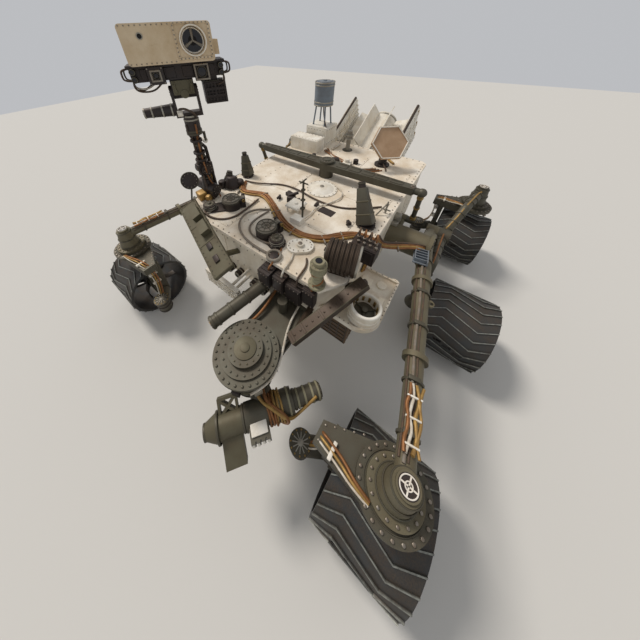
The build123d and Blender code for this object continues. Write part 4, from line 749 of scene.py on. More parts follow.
trim("lift_motor_bands", sage_paint, [
    ring_band(on_lift(distance), radius, 0.0032, lift_turn)
    for distance, radius in (
        (0.198, 0.0425), (0.236, 0.0425), (0.276, 0.0425), (0.308, 0.0425), (0.1, 0.0625), (0.15, 0.0625),
    )
], body="shoulder_turret")
trim(
    "lift_motor_cover", olive_anodised, rod(on_lift(0.317), on_lift(0.326), 0.034, 32), 0.003,
    body="shoulder_turret",
)
trim(
    "lift_motor_screws", steel, screw_ring(on_lift(0.318), 0.0375, 10, 0.0034, 0.003, lift_turn),
    body="shoulder_turret",
)
for label, first, radius, finish in (
    ("copper", 0.04, 0.0066, copper_wrap), ("gold", 0.076, 0.006, gold_wrap),
):
    winding = []
    for number in range(31):
        angle = 2 * pi * number / 12
        ring = lift_turn @ Vector((0.07 * cos(angle), 0.07 * sin(angle), 0.0))
        distance = first + 0.0142 * number / 12 + 0.003 * sin(number * 1.9)
        winding.append(on_lift(distance) + ring * (1.0 + 0.05 * sin(number * 0.9)))
    cable(f"lift_harness_{label}_turns", winding, radius, finish, body="shoulder_turret")
cable("lift_gold_harness", [
    Vector((1.232, 0.44, 0.672)), on_lift(0.02, -0.02, 0.074), on_lift(0.06, 0.02, 0.086),
    on_lift(0.1, 0.06, 0.07), on_lift(0.14, 0.076, 0.02), on_lift(0.18, 0.058, -0.02),
    on_lift(0.235, 0.046, 0.012), on_lift(0.29, 0.03, 0.036),
], 0.0075, gold_wrap, body="shoulder_turret")
cable("lift_copper_harness", [
    Vector((1.2, 0.462, 0.66)), on_lift(0.04, -0.01, 0.078), on_lift(0.09, 0.034, 0.078),
    on_lift(0.125, 0.07, 0.046), on_lift(0.13, 0.08, 0.0), on_lift(0.11, 0.066, -0.046),
    on_lift(0.06, 0.02, -0.076),
], 0.009, copper_wrap, body="shoulder_turret")
trim(
    "gear_block_cover", white_ceramic,
    slab(on_lift(-0.012, 0.06, 0.04), (0.06, 0.078, 0.01), (0, 0, lift_angle - 90)), 0.003,
    body="shoulder_turret",
)
trim("gear_block_teeth", white_ceramic, [
    slab(on_lift(distance, 0.112), (0.008, 0.012, 0.05), (0, 0, lift_angle - 90))
    for distance in (-0.05, -0.026, -0.002, 0.022)
], 0.002, body="shoulder_turret")
trim("link_bands", olive_anodised, [
    ring_band(on_lift(distance), radius, 0.0034, lift_turn)
    for distance, radius in ((-0.078, 0.0565), (-0.199, 0.0655), (-0.262, 0.034))
], body="arm_link")
tip_turn = aimed(-lift_along)
trim(
    "link_tip_screws", gold_screws, screw_ring(on_lift(-0.2635), 0.024, 8, 0.0032, 0.003, tip_turn),
    body="arm_link",
)
plate_along = Vector((lift_out.x, lift_out.y, -0.6)).normalized()
plate_up = plate_along.cross(-lift_along)
plate_turn = Matrix((plate_along, lift_along, plate_up)).transposed().to_4x4()
plate_screws = []
for distance in (-0.046, 0.046):
    for number in range(6):
        middle = on_lift(-0.14 + distance * 0.88) + plate_along * (-0.018 + 0.034 * number) + plate_up * 0.028
        plate_screws.append(Matrix.Translation(middle) @ plate_turn)
trim("link_plate_screws", steel, set_at(screw(0.0042, 0.0035), plate_screws), body="arm_link")


# Deck fittings
# Screwed cover plates and clamp strips under chalky thermal paint, with connectors and copper
# coloured harness bundles held down between the instruments.
deck_top = 1.1
screwed_length = 0.05
plates = [
    ((0.3, 0.33), (0.33, 0.23)), ((0.06, -0.25), (0.34, 0.3)), ((0.4, -0.33), (0.15, 0.22)),
    ((-0.38, 0.43), (0.3, 0.25)), ((-0.44, 0.02), (0.38, 0.3)), ((0.12, 0.33), (0.01, 0.008)),
    ((-0.03, 0.4), (0.15, 0.3)), ((0.56, -0.06), (0.19, 0.12)), ((0.72, -0.3), (0.1, 0.26)),
]
trim("deck_cover_plates", deck_paint, [
    soften(slab((x, y, deck_top + 0.0014), (length, width, 0.0036)), 0.0012, 1)
    for (x, y), (length, width) in plates
])
rows = []
for (x, y), (length, width) in plates:
    if length > screwed_length:
        reach, count = length / 2 - 0.012, max(3, int(length / 0.055))
        for row_y in (y - width / 2 + 0.01, y + width / 2 - 0.01):
            rows.append(
                screw_line((x - reach, row_y, deck_top + 0.003), (x + reach, row_y, deck_top + 0.003), count)
            )
trim("deck_cover_screws", steel, rows)
trim("deck_edge_screws", steel, [
    screw_line((x0, y0, deck_top), (x1, y1, deck_top), count, 0.0045, 0.004)
    for x0, y0, x1, y1, count in (
        (-0.78, 0.588, 0.64, 0.588, 30), (-0.78, -0.588, 0.64, -0.588, 30), (0.798, -0.48, 0.798, 0.48, 20),
        (-0.828, -0.54, -0.828, 0.54, 22),
    )
])
bundle = [
    (0.33, -0.47), (0.443, -0.4), (0.41, -0.3), (0.372, -0.215), (0.42, -0.11), (0.48, -0.015),
    (0.545, 0.085), (0.568, 0.185), (0.562, 0.27), (0.52, 0.37), (0.43, 0.44), (0.372, 0.5), (0.362, 0.56),
]
for number, (shift, radius, finish) in enumerate((
    (-0.012, 0.008, copper_wrap), (0.004, 0.0095, copper_wrap), (0.018, 0.007, gold_wrap),
    (-0.026, 0.006, copper_wrap),
)):
    points = []
    for place in range(len(bundle)):
        here = Vector((*bundle[place], 0.0))
        before = Vector((*bundle[max(place - 1, 0)], 0.0))
        after = Vector((*bundle[min(place + 1, len(bundle) - 1)], 0.0))
        across = (after - before).normalized().cross(up)
        sway = 0.004 * sin(place * 1.7 + number * 2.3)
        points.append(here + across * (shift + sway) + up * (deck_top + 0.004 + radius))
    points += [
        (0.364 + shift, 0.598, deck_top + 0.008 + radius), (0.372 + shift, 0.612 + radius, deck_top - 0.03),
        (0.392 + shift, 0.6 + radius, deck_top - 0.11), (0.43 + shift, 0.592 + radius, deck_top - 0.2),
    ]
    cable(f"deck_bundle_{number}", points, radius, finish)
straps = []
for place in (1, 3, 5, 7, 9, 10):
    here = Vector((*bundle[place], deck_top + 0.01))
    ahead = Vector((*bundle[place + 1], deck_top + 0.01)) - here
    angle = ahead.to_track_quat("X", "Z").to_euler().z
    straps.append(slab(here, (0.009, 0.066, 0.021), (0, 0, angle * 180 / pi)))
trim("deck_bundle_straps", grey_enamel, straps, 0.004)
cable("deck_grey_loop", [
    (0.47, -0.05, 1.104), (0.52, -0.12, 1.116), (0.61, -0.16, 1.122), (0.7, -0.14, 1.118),
    (0.765, -0.06, 1.112), (0.79, 0.04, 1.11), (0.792, 0.14, 1.108), (0.786, 0.2, 1.11),
], 0.007, grey_sleeve)
cable("deck_black_loop", [
    (0.3, -0.48, 1.104), (0.3, -0.4, 1.112), (0.25, -0.3, 1.112), (0.18, -0.2, 1.11), (0.17, -0.05, 1.112),
    (0.21, 0.12, 1.11), (0.2, 0.3, 1.11), (0.12, 0.42, 1.11), (0.02, 0.52, 1.108),
], 0.006, black_sleeve)
cable("deck_white_loop", [
    (-0.06, 0.1, 1.104), (-0.02, 0.2, 1.11), (0.06, 0.26, 1.112), (0.16, 0.24, 1.112), (0.29, 0.17, 1.112),
    (0.38, 0.19, 1.112), (0.47, 0.17, 1.112),
], 0.005, white_sleeve)
trim("deck_rings", grey_enamel, [
    ring_band((0.782, 0.219, deck_top + 0.01), 0.036, 0.0075, sides=36),
    ring_band((0.745, -0.399, deck_top + 0.006), 0.026, 0.006, sides=32),
])
trim(
    "deck_ring_core", black_anodised,
    rod((0.782, 0.219, deck_top), (0.782, 0.219, deck_top + 0.016), 0.026, 28), 0.003,
)
sockets = []
for x, y, angle in (
    (0.56, 0.42, 20), (0.53, 0.44, 20), (0.3, 0.42, 60), (0.25, 0.16, 0), (0.33, -0.1, 40), (0.1, 0.48, 10),
    (-0.25, 0.25, 30), (-0.3, 0.18, 30),
):
    sockets.append(slab((x, y, deck_top + 0.012), (0.034, 0.018, 0.024), (0, 0, angle)))
    sockets.append(rod((x + 0.01, y, deck_top + 0.02), (x + 0.034, y + 0.004, deck_top + 0.02), 0.009, 14))
trim("deck_connectors", black_anodised, sockets, 0.002, 1)
trim("square_plate_face", white_ceramic, [
    soften(slab((0.378, 0.076, 1.1575), (0.096, 0.096, 0.003)), 0.001, 1),
    soften(rod((0.378, 0.076, 1.157), (0.378, 0.076, 1.168), 0.012, 20), 0.002),
])
for label, y in (("a", 0.033), ("b", 0.119)):
    trim(f"square_plate_screws_{label}", steel, screw_line((0.335, y, 1.156), (0.421, y, 1.156), 4))
relay_x, relay_y = 0.45, 0.176
trim("relay_box_mast", olive_anodised, [
    rod((relay_x, relay_y, 1.139), (relay_x, relay_y, 1.4), 0.0062, 14),
    rod((relay_x - 0.03, relay_y, 1.398), (relay_x + 0.03, relay_y, 1.398), 0.0045, 12),
    rod((relay_x, relay_y - 0.03, 1.386), (relay_x, relay_y + 0.03, 1.386), 0.0045, 12),
    *(
        slab((relay_x, relay_y, height), (width, width, depth))
        for height, width, depth in ((1.208, 0.024, 0.014), (1.27, 0.022, 0.012), (1.34, 0.02, 0.012))
    ),
], 0.0015, 1)
trim("release_mechanism", black_anodised, [
    slab((0.3, -0.02, 1.122), (0.07, 0.052, 0.04), (0, 0, 24)),
    slab((0.262, -0.058, 1.114), (0.04, 0.064, 0.026), (0, 0, -12)),
    rod((0.312, -0.034, 1.14), (0.27, 0.02, 1.164), 0.011, 16),
    rod((0.33, 0.004, 1.118), (0.29, 0.05, 1.128), 0.013, 18),
    slab((0.318, 0.026, 1.11), (0.034, 0.034, 0.018), (0, 0, 40)),
], 0.003)
trim("deck_edge_bracket", grey_enamel, [
    rod((0.06, 0.56, 1.1), (0.06, 0.56, 1.19), 0.0055, 12),
    rod((0.12, 0.52, 1.1), (0.06, 0.56, 1.18), 0.0045, 12),
    rod((0.028, 0.56, 1.15), (0.1, 0.56, 1.15), 0.0045, 12),
    rod((0.06, 0.528, 1.128), (0.06, 0.588, 1.128), 0.0045, 12),
], 0.001, 1)
trim(
    "blank_dark_plate", black_anodised,
    slab((0.274, 0.25, deck_top + 0.005), (0.062, 0.104, 0.004), (0, 0, -4)), 0.001, 1,
)
trim("dome_vent", pale_grey_alodine, rod((0.05, 0.08, 1.1255), (0.05, 0.08, 1.129), 0.016, 20), 0.001)
trim("dome_screws", steel, screw_ring((0.05, 0.08, 1.106), 0.107, 18, 0.004, 0.003))
trim("port_cover_button", steel, rod((0.64, 0.292, 1.1335), (0.64, 0.292, 1.137), 0.012, 20), 0.001)
cover_turn = Matrix.Translation((0.64, 0.292, 1.118)) @ turned(130, "Z")
cover_screws = []
for number in range(14):
    angle = 2 * pi * number / 14
    place = cover_turn @ Vector((0.064 * cos(angle), 0.043 * sin(angle), 0.0))
    cover_screws.append(Matrix.Translation(place))
trim("port_cover_screws", steel, set_at(screw(0.0035, 0.003), cover_screws))


# Mast and its joint
# A slim black-anodised tube on a forked foot, held upright by a clamp joint, with its harness
# tied along the tube and a short boom with white collars beside it.
mast_x, mast_y = 0.6, -0.545
trim("mast_bands", olive_anodised, [
    ring_band((mast_x, mast_y, height), radius, 0.0045)
    for height, radius in ((1.262, 0.029), (1.42, 0.024), (1.498, 0.024), (1.572, 0.044), (1.588, 0.044))
])
trim("mast_collar_screws", steel, screw_ring((mast_x, mast_y, 1.65), 0.036, 10, 0.0036, 0.003))
trim("mast_clamp_joint", black_anodised, [
    slab((mast_x + 0.002, mast_y, 1.345), (0.094, 0.052, 0.05)),
    slab((mast_x + 0.002, mast_y, 1.3), (0.074, 0.04, 0.03)),
    *(slab((mast_x - 0.036, mast_y + shift, 1.326), (0.02, 0.03, 0.09)) for shift in (0.03, -0.03)),
], 0.004)
trim("mast_hinge_screws", steel, [
    screw_ring((mast_x, mast_y + 0.046, 1.33), 0.03, 8, 0.004, 0.004, turned(-90, "X")),
    screw_ring((mast_x, mast_y + 0.0925, 1.1825), 0.026, 8, 0.004, 0.004, turned(-90, "X")),
    screw_ring((mast_x, mast_y - 0.0925, 1.1825), 0.026, 8, 0.004, 0.004, turned(90, "X")),
])
cable("mast_harness_black", [
    (0.618, -0.48, 1.104), (0.63, -0.5, 1.16), (0.636, -0.52, 1.24), (0.626, -0.53, 1.3),
    (0.652, -0.545, 1.335), (0.632, -0.54, 1.39), (0.627, -0.542, 1.46), (0.628, -0.543, 1.54),
    (0.646, -0.54, 1.575), (0.648, -0.54, 1.63),
], 0.007, black_sleeve)
cable("mast_harness_copper", [
    (0.57, -0.47, 1.104), (0.58, -0.48, 1.17), (0.606, -0.5, 1.25), (0.612, -0.508, 1.3),
    (0.62, -0.492, 1.336), (0.612, -0.514, 1.39), (0.61, -0.518, 1.47), (0.609, -0.519, 1.55),
    (0.612, -0.498, 1.58), (0.612, -0.497, 1.635),
], 0.0055, copper_wrap)
trim("mast_harness_ties", black_anodised, [
    soften(ring_band((mast_x + 0.01, mast_y + 0.01, height), 0.033, 0.005, sides=28), 0.001, 1)
    for height in (1.4, 1.45, 1.53)
])
trim("mast_white_boom", white_ceramic, [
    rod((0.534, -0.632, 1.5), (0.534, -0.56, 1.5), 0.014, 24),
    rod((0.534, -0.64, 1.5), (0.534, -0.632, 1.5), 0.017, 24),
    rod((0.534, -0.56, 1.5), (0.534, -0.545, 1.5), 0.017, 24),
], 0.002)
trim("mast_cross_braces", olive_anodised, [
    rod((0.536, -0.55, 1.392), (0.598, -0.545, 1.41), 0.0065, 14),
    rod((0.536, -0.55, 1.372), (0.592, -0.545, 1.35), 0.0065, 14),
    rod((0.534, -0.548, 1.5), (0.534, -0.548, 1.56), 0.009, 16),
], 0.001, 1)
trim("mast_release_fittings", gold_wrap, [
    slab((0.54, -0.585, 1.3), (0.03, 0.036, 0.026), (0, 18, 10)),
    slab((0.56, -0.6, 1.276), (0.034, 0.024, 0.024), (0, -10, 24)),
    rod((0.548, -0.56, 1.27), (0.56, -0.552, 1.22), 0.01, 16),
], 0.004)
trim("mast_foot_foil_covers", gold_wrap, [
    slab((0.566, -0.572, 1.15), (0.074, 0.056, 0.096), (4, -6, 18)),
    slab((0.56, -0.574, 1.214), (0.052, 0.046, 0.046), (-8, 10, 32)),
    slab((0.664, -0.56, 1.132), (0.062, 0.07, 0.06), (-4, 5, -12)),
    slab((0.65, -0.5, 1.124), (0.04, 0.04, 0.044), (5, 8, 24)),
], 0.009, 3)
trim("mast_foot_dark_covers", black_anodised, [
    rod((0.424, -0.5, 1.099), (0.41, -0.508, 1.186), 0.066, 32, 0.036),
    rod((0.376, -0.47, 1.099), (0.376, -0.47, 1.15), 0.036, 26),
    rod((0.47, -0.56, 1.099), (0.47, -0.56, 1.16), 0.03, 24),
], 0.012, 3)

# Dark disc on a stem
# A small disc of black anodised metal with an olive rim, held up on a thin stem that is
# screwed to the deck's right edge.
disc_centre = Vector((0.718, -0.566, 1.276))
disc_faces = Vector((0.43, 0.8, 0.42)).normalized()
disc_turn = aimed(disc_faces)
trim("dark_disc", black_anodised, [
    rod(disc_centre - disc_faces * 0.004, disc_centre + disc_faces * 0.002, 0.056, 44),
    rod(disc_centre, disc_centre + disc_faces * 0.006, 0.034, 32),
    rod(disc_centre, disc_centre + disc_faces * 0.012, 0.009, 18),
], 0.0015)
trim("dark_disc_rim", olive_anodised, ring_band(disc_centre, 0.056, 0.0036, disc_turn))
trim(
    "dark_disc_screws", steel,
    screw_ring(disc_centre + disc_faces * 0.002, 0.045, 12, 0.0032, 0.003, disc_turn),
)
trim("dark_disc_stem", olive_anodised, [
    rod((0.76, -0.56, 1.1), (0.718, -0.566, 1.232), 0.006, 14),
    rod((0.76, -0.56, 1.099), (0.76, -0.56, 1.11), 0.02, 24),
    rod((0.716, -0.566, 1.222), (0.716, -0.566, 1.24), 0.009, 16),
], 0.001, 1)

# Mast head
# A warm beige painted box over a dark camera bar; the big round window sits in a square frame
# with rows of small screws, and each camera has its own bezel and lens.
head_angle = 60
head_spin = turned(head_angle, "Z")
head_turn = Matrix.Translation((mast_x, mast_y, 0.0)) @ head_spin


def on_head(x, y, z):
    """A point measured along, across and above the mast head's own axes."""
    return head_turn @ Vector((x, y, z))


def at_window(x):
    """A point on the axis of the head's window."""
    return on_head(x, 0.098, 2.033)


def head_slab(place, size):
    """A block set square to the mast head."""
    return slab(on_head(*place), size, (0, 0, head_angle))


# A coated lens looks near black with a hard bright glint; behind it the tube is matt black.
lens_glass = dusty_finish("coated_lens_glass", "#0B0D13", "#10121B", "#5E4A38", 0.05, 0.1, 0.0, 40.0, 3.0)
dark_hole = dusty_finish("matt_black_inside", "#0A0A0C", "#0F0E10", "#4A3A2C", 0.06, 0.85, 0.0, 40.0, 3.0)
across_head = head_spin @ turned(90, "Y")
trim(
    "head_window_glass", lens_glass, rod(at_window(0.087), at_window(0.09), 0.0545, 44), 0.001, 1,
    body="mast_head",
)
trim("head_window_rings", white_ceramic, [
    ring_band(at_window(0.0915), 0.05, 0.0035, across_head),
    ring_band(at_window(0.1255), 0.0595, 0.003, across_head),
], body="mast_head")
spokes = []
for lean in (radians(90), radians(210), radians(330)):
    rim = on_head(0.0915, 0.098 + 0.047 * cos(lean), 2.033 + 0.047 * sin(lean))
    spokes.append(rod(at_window(0.0915), rim, 0.0035, 10, 0.008))
trim("head_window_spider", grey_enamel, spokes, 0.001, 1, body="mast_head")
trim(
    "head_window_centre", dark_hole, rod(at_window(0.0895), at_window(0.0925), 0.02, 28), 0.001, 1,
    body="mast_head",
)
trim("head_window_frame", beige_head_paint, [
    head_slab((0.1225, 0.098, 2.101), (0.005, 0.166, 0.008)),
    head_slab((0.1225, 0.098, 1.965), (0.005, 0.166, 0.01)),
    head_slab((0.1225, 0.019, 2.033), (0.005, 0.01, 0.136)),
    head_slab((0.1225, 0.177, 2.033), (0.005, 0.01, 0.136)),
], 0.0012, 1, body="mast_head")
trim("head_frame_screws", steel, [
    screw_line(on_head(x, y0, z0), on_head(x, y1, z1), count, radius, 0.003, across_head)
    for x, y0, z0, y1, z1, count, radius in (
        (0.1248, 0.026, 2.101, 0.17, 2.101, 9, 0.003), (0.1248, 0.026, 1.965, 0.17, 1.965, 9, 0.0034),
        (0.1248, 0.019, 1.976, 0.019, 2.092, 8, 0.0034), (0.1248, 0.177, 1.976, 0.177, 2.092, 8, 0.0034),
        (0.1198, -0.2, 1.956, 0.0, 1.956, 10, 0.003), (0.1198, -0.2, 2.098, 0.0, 2.098, 10, 0.003),
    )
], body="mast_head")
trim(
    "head_small_aperture", dark_hole,
    rod(on_head(0.119, -0.128, 2.06), on_head(0.1222, -0.128, 2.06), 0.01, 20), 0.001, 1, body="mast_head",
)
trim(
    "head_aperture_ring", pale_grey_alodine,
    ring_band(on_head(0.1205, -0.128, 2.06), 0.0115, 0.0022, across_head, 24), body="mast_head",
)
trim("head_cover_seams", beige_head_paint, [
    head_slab((0.116, -0.1, 2.026), (0.0085, 0.2, 0.003)),
    head_slab((0.0, -0.206, 2.026), (0.2, 0.012, 0.004)),
    head_slab((-0.116, -0.01, 2.026), (0.0085, 0.38, 0.003)),
    head_slab((0.0, 0.184, 2.026), (0.2, 0.012, 0.004)),
], 0.001, 1, body="mast_head")
back_head = head_spin @ turned(-90, "Y")
trim("head_back_screws", steel, [
    screw_line(on_head(-0.1198, -0.2, z), on_head(-0.1198, 0.178, z), 14, 0.003, 0.003, back_head)
    for z in (1.958, 2.094)
], body="mast_head")

# Camera bar under the head
# Two cameras with anodised bezels look out under the thin dark plate, a narrow field one with
# a square hood at the left and a wide one at the right.
camera_z = 1.899
for label, y, hood, radius in (("left", -0.113, 0.036, 0.013), ("right", 0.113, 0.058, 0.023)):
    trim(f"camera_{label}_bezel", grey_enamel, [
        head_slab((0.08, y, camera_z + hood / 2 + 0.004), (0.006, hood + 0.016, 0.008)),
        head_slab((0.08, y, camera_z - hood / 2 - 0.004), (0.006, hood + 0.016, 0.008)),
        head_slab((0.08, y - hood / 2 - 0.004, camera_z), (0.006, 0.008, hood)),
        head_slab((0.08, y + hood / 2 + 0.004, camera_z), (0.006, 0.008, hood)),
    ], 0.0015, 1, body="mast_head")
    trim(
        f"camera_{label}_lens", lens_glass,
        rod(on_head(0.064, y, camera_z), on_head(0.072, y, camera_z), radius, 32), 0.004, 3, body="mast_head",
    )
    trim(
        f"camera_{label}_lens_ring", olive_anodised,
        ring_band(on_head(0.07, y, camera_z), radius + 0.002, 0.003, across_head, 32), body="mast_head",
    )
    bezel_screws = [
        Matrix.Translation(on_head(0.079, y + shift, camera_z + lift)) @ across_head
        for shift in (-0.033, 0.033)
        for lift in (-0.033, 0.033)
    ]
    trim(f"camera_{label}_screws", steel, set_at(screw(0.0034, 0.003), bezel_screws), body="mast_head")
head_sides = (("left", -1), ("right", 1))
for label, side in head_sides:
    glass, rims = [], []
    for height in (1.888, 1.922):
        start, end = on_head(0.0705, side * 0.216, height), on_head(0.073, side * 0.216, height)
        glass.append(soften(rod(start, end, 0.0095, 20), 0.001))
        rims.append(ring_band(on_head(0.0715, side * 0.216, height), 0.012, 0.0024, across_head, 24))
    trim(f"navigation_{label}_glass", lens_glass, glass, body="mast_head")
    trim(f"navigation_{label}_rings", olive_anodised, rims, body="mast_head")
    for number, (lift, reach, thick) in enumerate((
        (0.0, 0.0, 0.005), (0.006, -0.008, 0.0042), (-0.008, 0.01, 0.0045),
    )):
        cable(f"navigation_{label}_loop_{number}", [
            on_head(0.03 + reach, side * 0.228, 1.876 + lift),
            on_head(0.048 + reach, side * 0.236, 1.846 + lift),
            on_head(0.02, side * (0.2 - 0.02 * number), 1.828 + lift),
            on_head(-0.01, side * (0.15 - 0.02 * number), 1.85 + lift),
            on_head(-0.01, side * (0.12 - 0.02 * number), 1.874),
        ], thick, white_sleeve if number == 1 else black_sleeve, body="mast_head")
for label, side in head_sides:
    for number, (reach, thick) in enumerate(((0.03, 0.0046), (0.022, 0.004))):
        cable(f"camera_bar_end_loop_{label}_{number}", [
            on_head(0.03 - 0.03 * number, side * 0.23, 1.934),
            on_head(0.034 - 0.03 * number, side * (0.236 + reach), 1.934),
            on_head(0.036 - 0.03 * number, side * (0.24 + reach), 1.906),
            on_head(0.034 - 0.03 * number, side * (0.236 + reach), 1.882),
            on_head(0.03 - 0.03 * number, side * 0.23, 1.88),
        ], thick, olive_anodised if number else black_sleeve, body="mast_head")
trim("camera_bar_screws", steel, [
    screw_line(on_head(0.05, side * 0.06, 1.948), on_head(0.05, side * 0.225, 1.948), 6, 0.0028, 0.002)
    for side in (-1, 1)
], body="mast_head")
trim("camera_bar_covers", black_anodised, [
    head_slab((0.046, y, 1.905), (0.006, 0.03 if abs(y) > 0.1 else 0.056, 0.05))
    for y in (-0.045, 0.045, 0.17, -0.17)
], 0.002, 1, body="mast_head")

# Turning parts under the head
# A stubby pan drive in the fork and a long tapering tilt motor beside it, both dark, with a
# finned electronics box and a small white junction block.
trim("mast_pan_bands", pale_grey_alodine, [
    ring_band((mast_x, mast_y, height), 0.0425, 0.003)
    for height in (1.655, 1.677)
], body="mast_pan")
side_turn = head_spin @ turned(90, "X")
trim("mast_tilt_motor_bands", pale_grey_alodine, [
    ring_band(on_head(0.0, -y, 1.717), radius, 0.0026, side_turn, 36)
    for y, radius in ((0.09, 0.0335), (0.14, 0.0305), (0.196, 0.0276), (0.236, 0.0255))
], body="mast_pan")
trim(
    "mast_tilt_motor_screws", steel,
    screw_ring(on_head(0.0, -0.24, 1.717), 0.018, 8, 0.003, 0.0026, side_turn), body="mast_pan",
)
trim("mast_white_junction", white_ceramic, [
    head_slab((0.02, -0.052, 1.7), (0.034, 0.03, 0.034)), head_slab((0.04, -0.052, 1.7), (0.012, 0.02, 0.02)),
], 0.003, body="mast_pan")
trim("mast_fork_screws", steel, [
    screw_ring(on_head(0.0, side * 0.075, 1.81), 0.02, 8, 0.003, 0.0028, head_spin @ turned(-90 * side, "X"))
    for side in (-1, 1)
], body="mast_pan")
cable("mast_pan_harness", [
    on_head(0.03, 0.026, 1.668), on_head(0.058, 0.03, 1.69), on_head(0.06, 0.0, 1.716),
    on_head(0.05, -0.03, 1.73), on_head(0.034, -0.052, 1.722),
], 0.0065, black_sleeve, body="mast_pan")
fins = [head_slab((0.0425, 0.113 + 0.0193 * number, 1.79), (0.005, 0.004, 0.106)) for number in range(7)]
fins += [
    head_slab((0.0425, 0.171, height), (0.005, 0.12, 0.004))
    for height in (1.738, 1.766, 1.79, 1.814, 1.842)
]
trim("finned_box_grid", black_anodised, fins, 0.001, 1, body="mast_head")
trim("tilt_bracket", arm_titanium, [
    head_slab((0.046, 0.0, 1.832), (0.006, 0.11, 0.07)),
    head_slab((0.05, -0.04, 1.832), (0.01, 0.006, 0.066)),
    head_slab((0.05, 0.04, 1.832), (0.01, 0.006, 0.066)),
    rod(on_head(0.046, 0.0, 1.8), on_head(0.054, 0.0, 1.8), 0.022, 28),
    rod(on_head(0.05, -0.049, 1.85), on_head(0.05, -0.036, 1.808), 0.007, 14),
    rod(on_head(0.05, 0.049, 1.85), on_head(0.05, 0.036, 1.808), 0.007, 14),
], 0.002, body="mast_head")
trim(
    "finned_box_lid", olive_anodised, head_slab((0.0, 0.171, 1.8475), (0.078, 0.118, 0.004)), 0.001, 1,
    body="mast_head",
)


# Pointed dish antenna
# A flat hexagon under a tan radome, a pale painted border round it and a two-axis drive of
# grey aluminium below.
dish_centre = Vector((-0.58, 0.3, 1.28))
dish_heading = turned(40, "Z")
dish_turn = Matrix.Translation(dish_centre) @ dish_heading @ turned(-38, "Y")


def on_dish(x, y, z):
    """A point measured along, across and above the dish's own axes, from its tilt axis."""
    return dish_turn @ Vector((x, y, z))


def dish_corner(x, radius, number):
    """A corner of a hexagon about the dish's axis."""
    angle = pi / 3 * number
    return on_dish(x, radius * cos(angle), radius * sin(angle))


trim("dish_border", white_ceramic, [
    rod(dish_corner(0.068, 0.141, number), dish_corner(0.068, 0.141, number + 1), 0.0046, 12)
    for number in range(6)
], 0.001, 1, body="antenna_dish")
dish_out = dish_turn.to_3x3().to_4x4() @ turned(90, "Y")
trim(
    "dish_corner_screws", steel,
    set_at(screw(0.0065, 0.003), [
        Matrix.Translation(dish_corner(0.0675, 0.14, number)) @ dish_out
        for number in range(6)
    ]),
    body="antenna_dish",
)
trim("dish_back_ribs", grey_enamel, [
    rod(dish_corner(0.0385, 0.118, number), dish_corner(0.0385, -0.118, number), 0.0065, 12)
    for number in range(3)
], 0.001, 1, body="antenna_dish")
trim("dish_pin_screws", steel, [
    screw_ring(
        dish_centre + dish_heading @ Vector((0.0, side * 0.052, 0.0)), 0.013, 6, 0.0028, 0.0026,
        dish_heading @ turned(-90 * side, "X"),
    )
    for side in (-1, 1)
], body="antenna_turntable")
turn_motor = Vector((-0.58, 0.3, 1.196))
trim(
    "dish_turn_motor", olive_anodised,
    rod(turn_motor, turn_motor + dish_heading @ Vector((-0.052, 0.0, 0.0)), 0.0125, 20), 0.002,
    body="antenna_turntable",
)
trim("dish_foot_screws", steel, screw_ring((-0.58, 0.3, 1.114), 0.05, 10, 0.0038, 0.003))
cable("dish_cable", [
    (-0.48, 0.372, 1.104), (-0.5, 0.36, 1.112), (-0.53, 0.34, 1.116), (-0.548, 0.322, 1.124),
], 0.006, black_sleeve)

# Drum antenna on four legs
# A grey-blue composite drum held by pale clamp bands over a white painted base box, with its
# feed cable running down one leg.
helix_x, helix_y = -0.725, -0.395
trim("helix_bands", pale_grey_alodine, [
    ring_band((helix_x, helix_y, height), 0.088, 0.0036, sides=56)
    for height in (1.474, 1.5, 1.64, 1.661)
])
trim("helix_top_screws", steel, screw_ring((helix_x, helix_y, 1.665), 0.08, 16, 0.0034, 0.003))
trim("helix_crown", blue_composite, [
    soften(rod((helix_x, helix_y, 1.664), (helix_x, helix_y, 1.669), 0.064, 44), 0.002),
    soften(rod((helix_x, helix_y, 1.668), (helix_x, helix_y, 1.676), 0.016, 20), 0.002),
])
cable("helix_cable", [
    (-0.64, -0.3, 1.294), (-0.66, -0.328, 1.33), (-0.69, -0.364, 1.39), (-0.7, -0.376, 1.44),
    (-0.704, -0.38, 1.468),
], 0.0055, black_sleeve)
trim("antenna_base_panels", white_ceramic, [
    slab((-0.725, -0.395, 1.2915), (0.196, 0.196, 0.004)), slab((-0.6145, -0.395, 1.2), (0.004, 0.18, 0.15)),
    slab((-0.725, -0.2845, 1.2), (0.18, 0.004, 0.15)), slab((-0.8345, -0.395, 1.2), (0.004, 0.18, 0.15)),
], 0.0015, 1)
trim("antenna_base_screws", steel, [
    screw_line((x0, y0, z), (x1, y1, z), 6, 0.004, 0.003, turn)
    for x0, y0, x1, y1, turn in (
        (-0.612, -0.475, -0.612, -0.315, turned(90, "Y")), (-0.645, -0.282, -0.805, -0.282, turned(-90, "X")),
    )
    for z in (1.265, 1.135)
])
trim("side_box_lid", white_ceramic, slab((-0.52, -0.43, 1.2215), (0.136, 0.284, 0.005)), 0.002, 1)
trim("side_box_screws", steel, [
    screw_line((x, -0.56, 1.2235), (x, -0.3, 1.2235), 8)
    for x in (-0.578, -0.462)
])
trim("side_box_ribs", white_ceramic, [
    slab((-0.4445, -0.43 + 0.045 * number, 1.16), (0.004, 0.006, 0.09))
    for number in range(-3, 4)
], 0.001, 1)
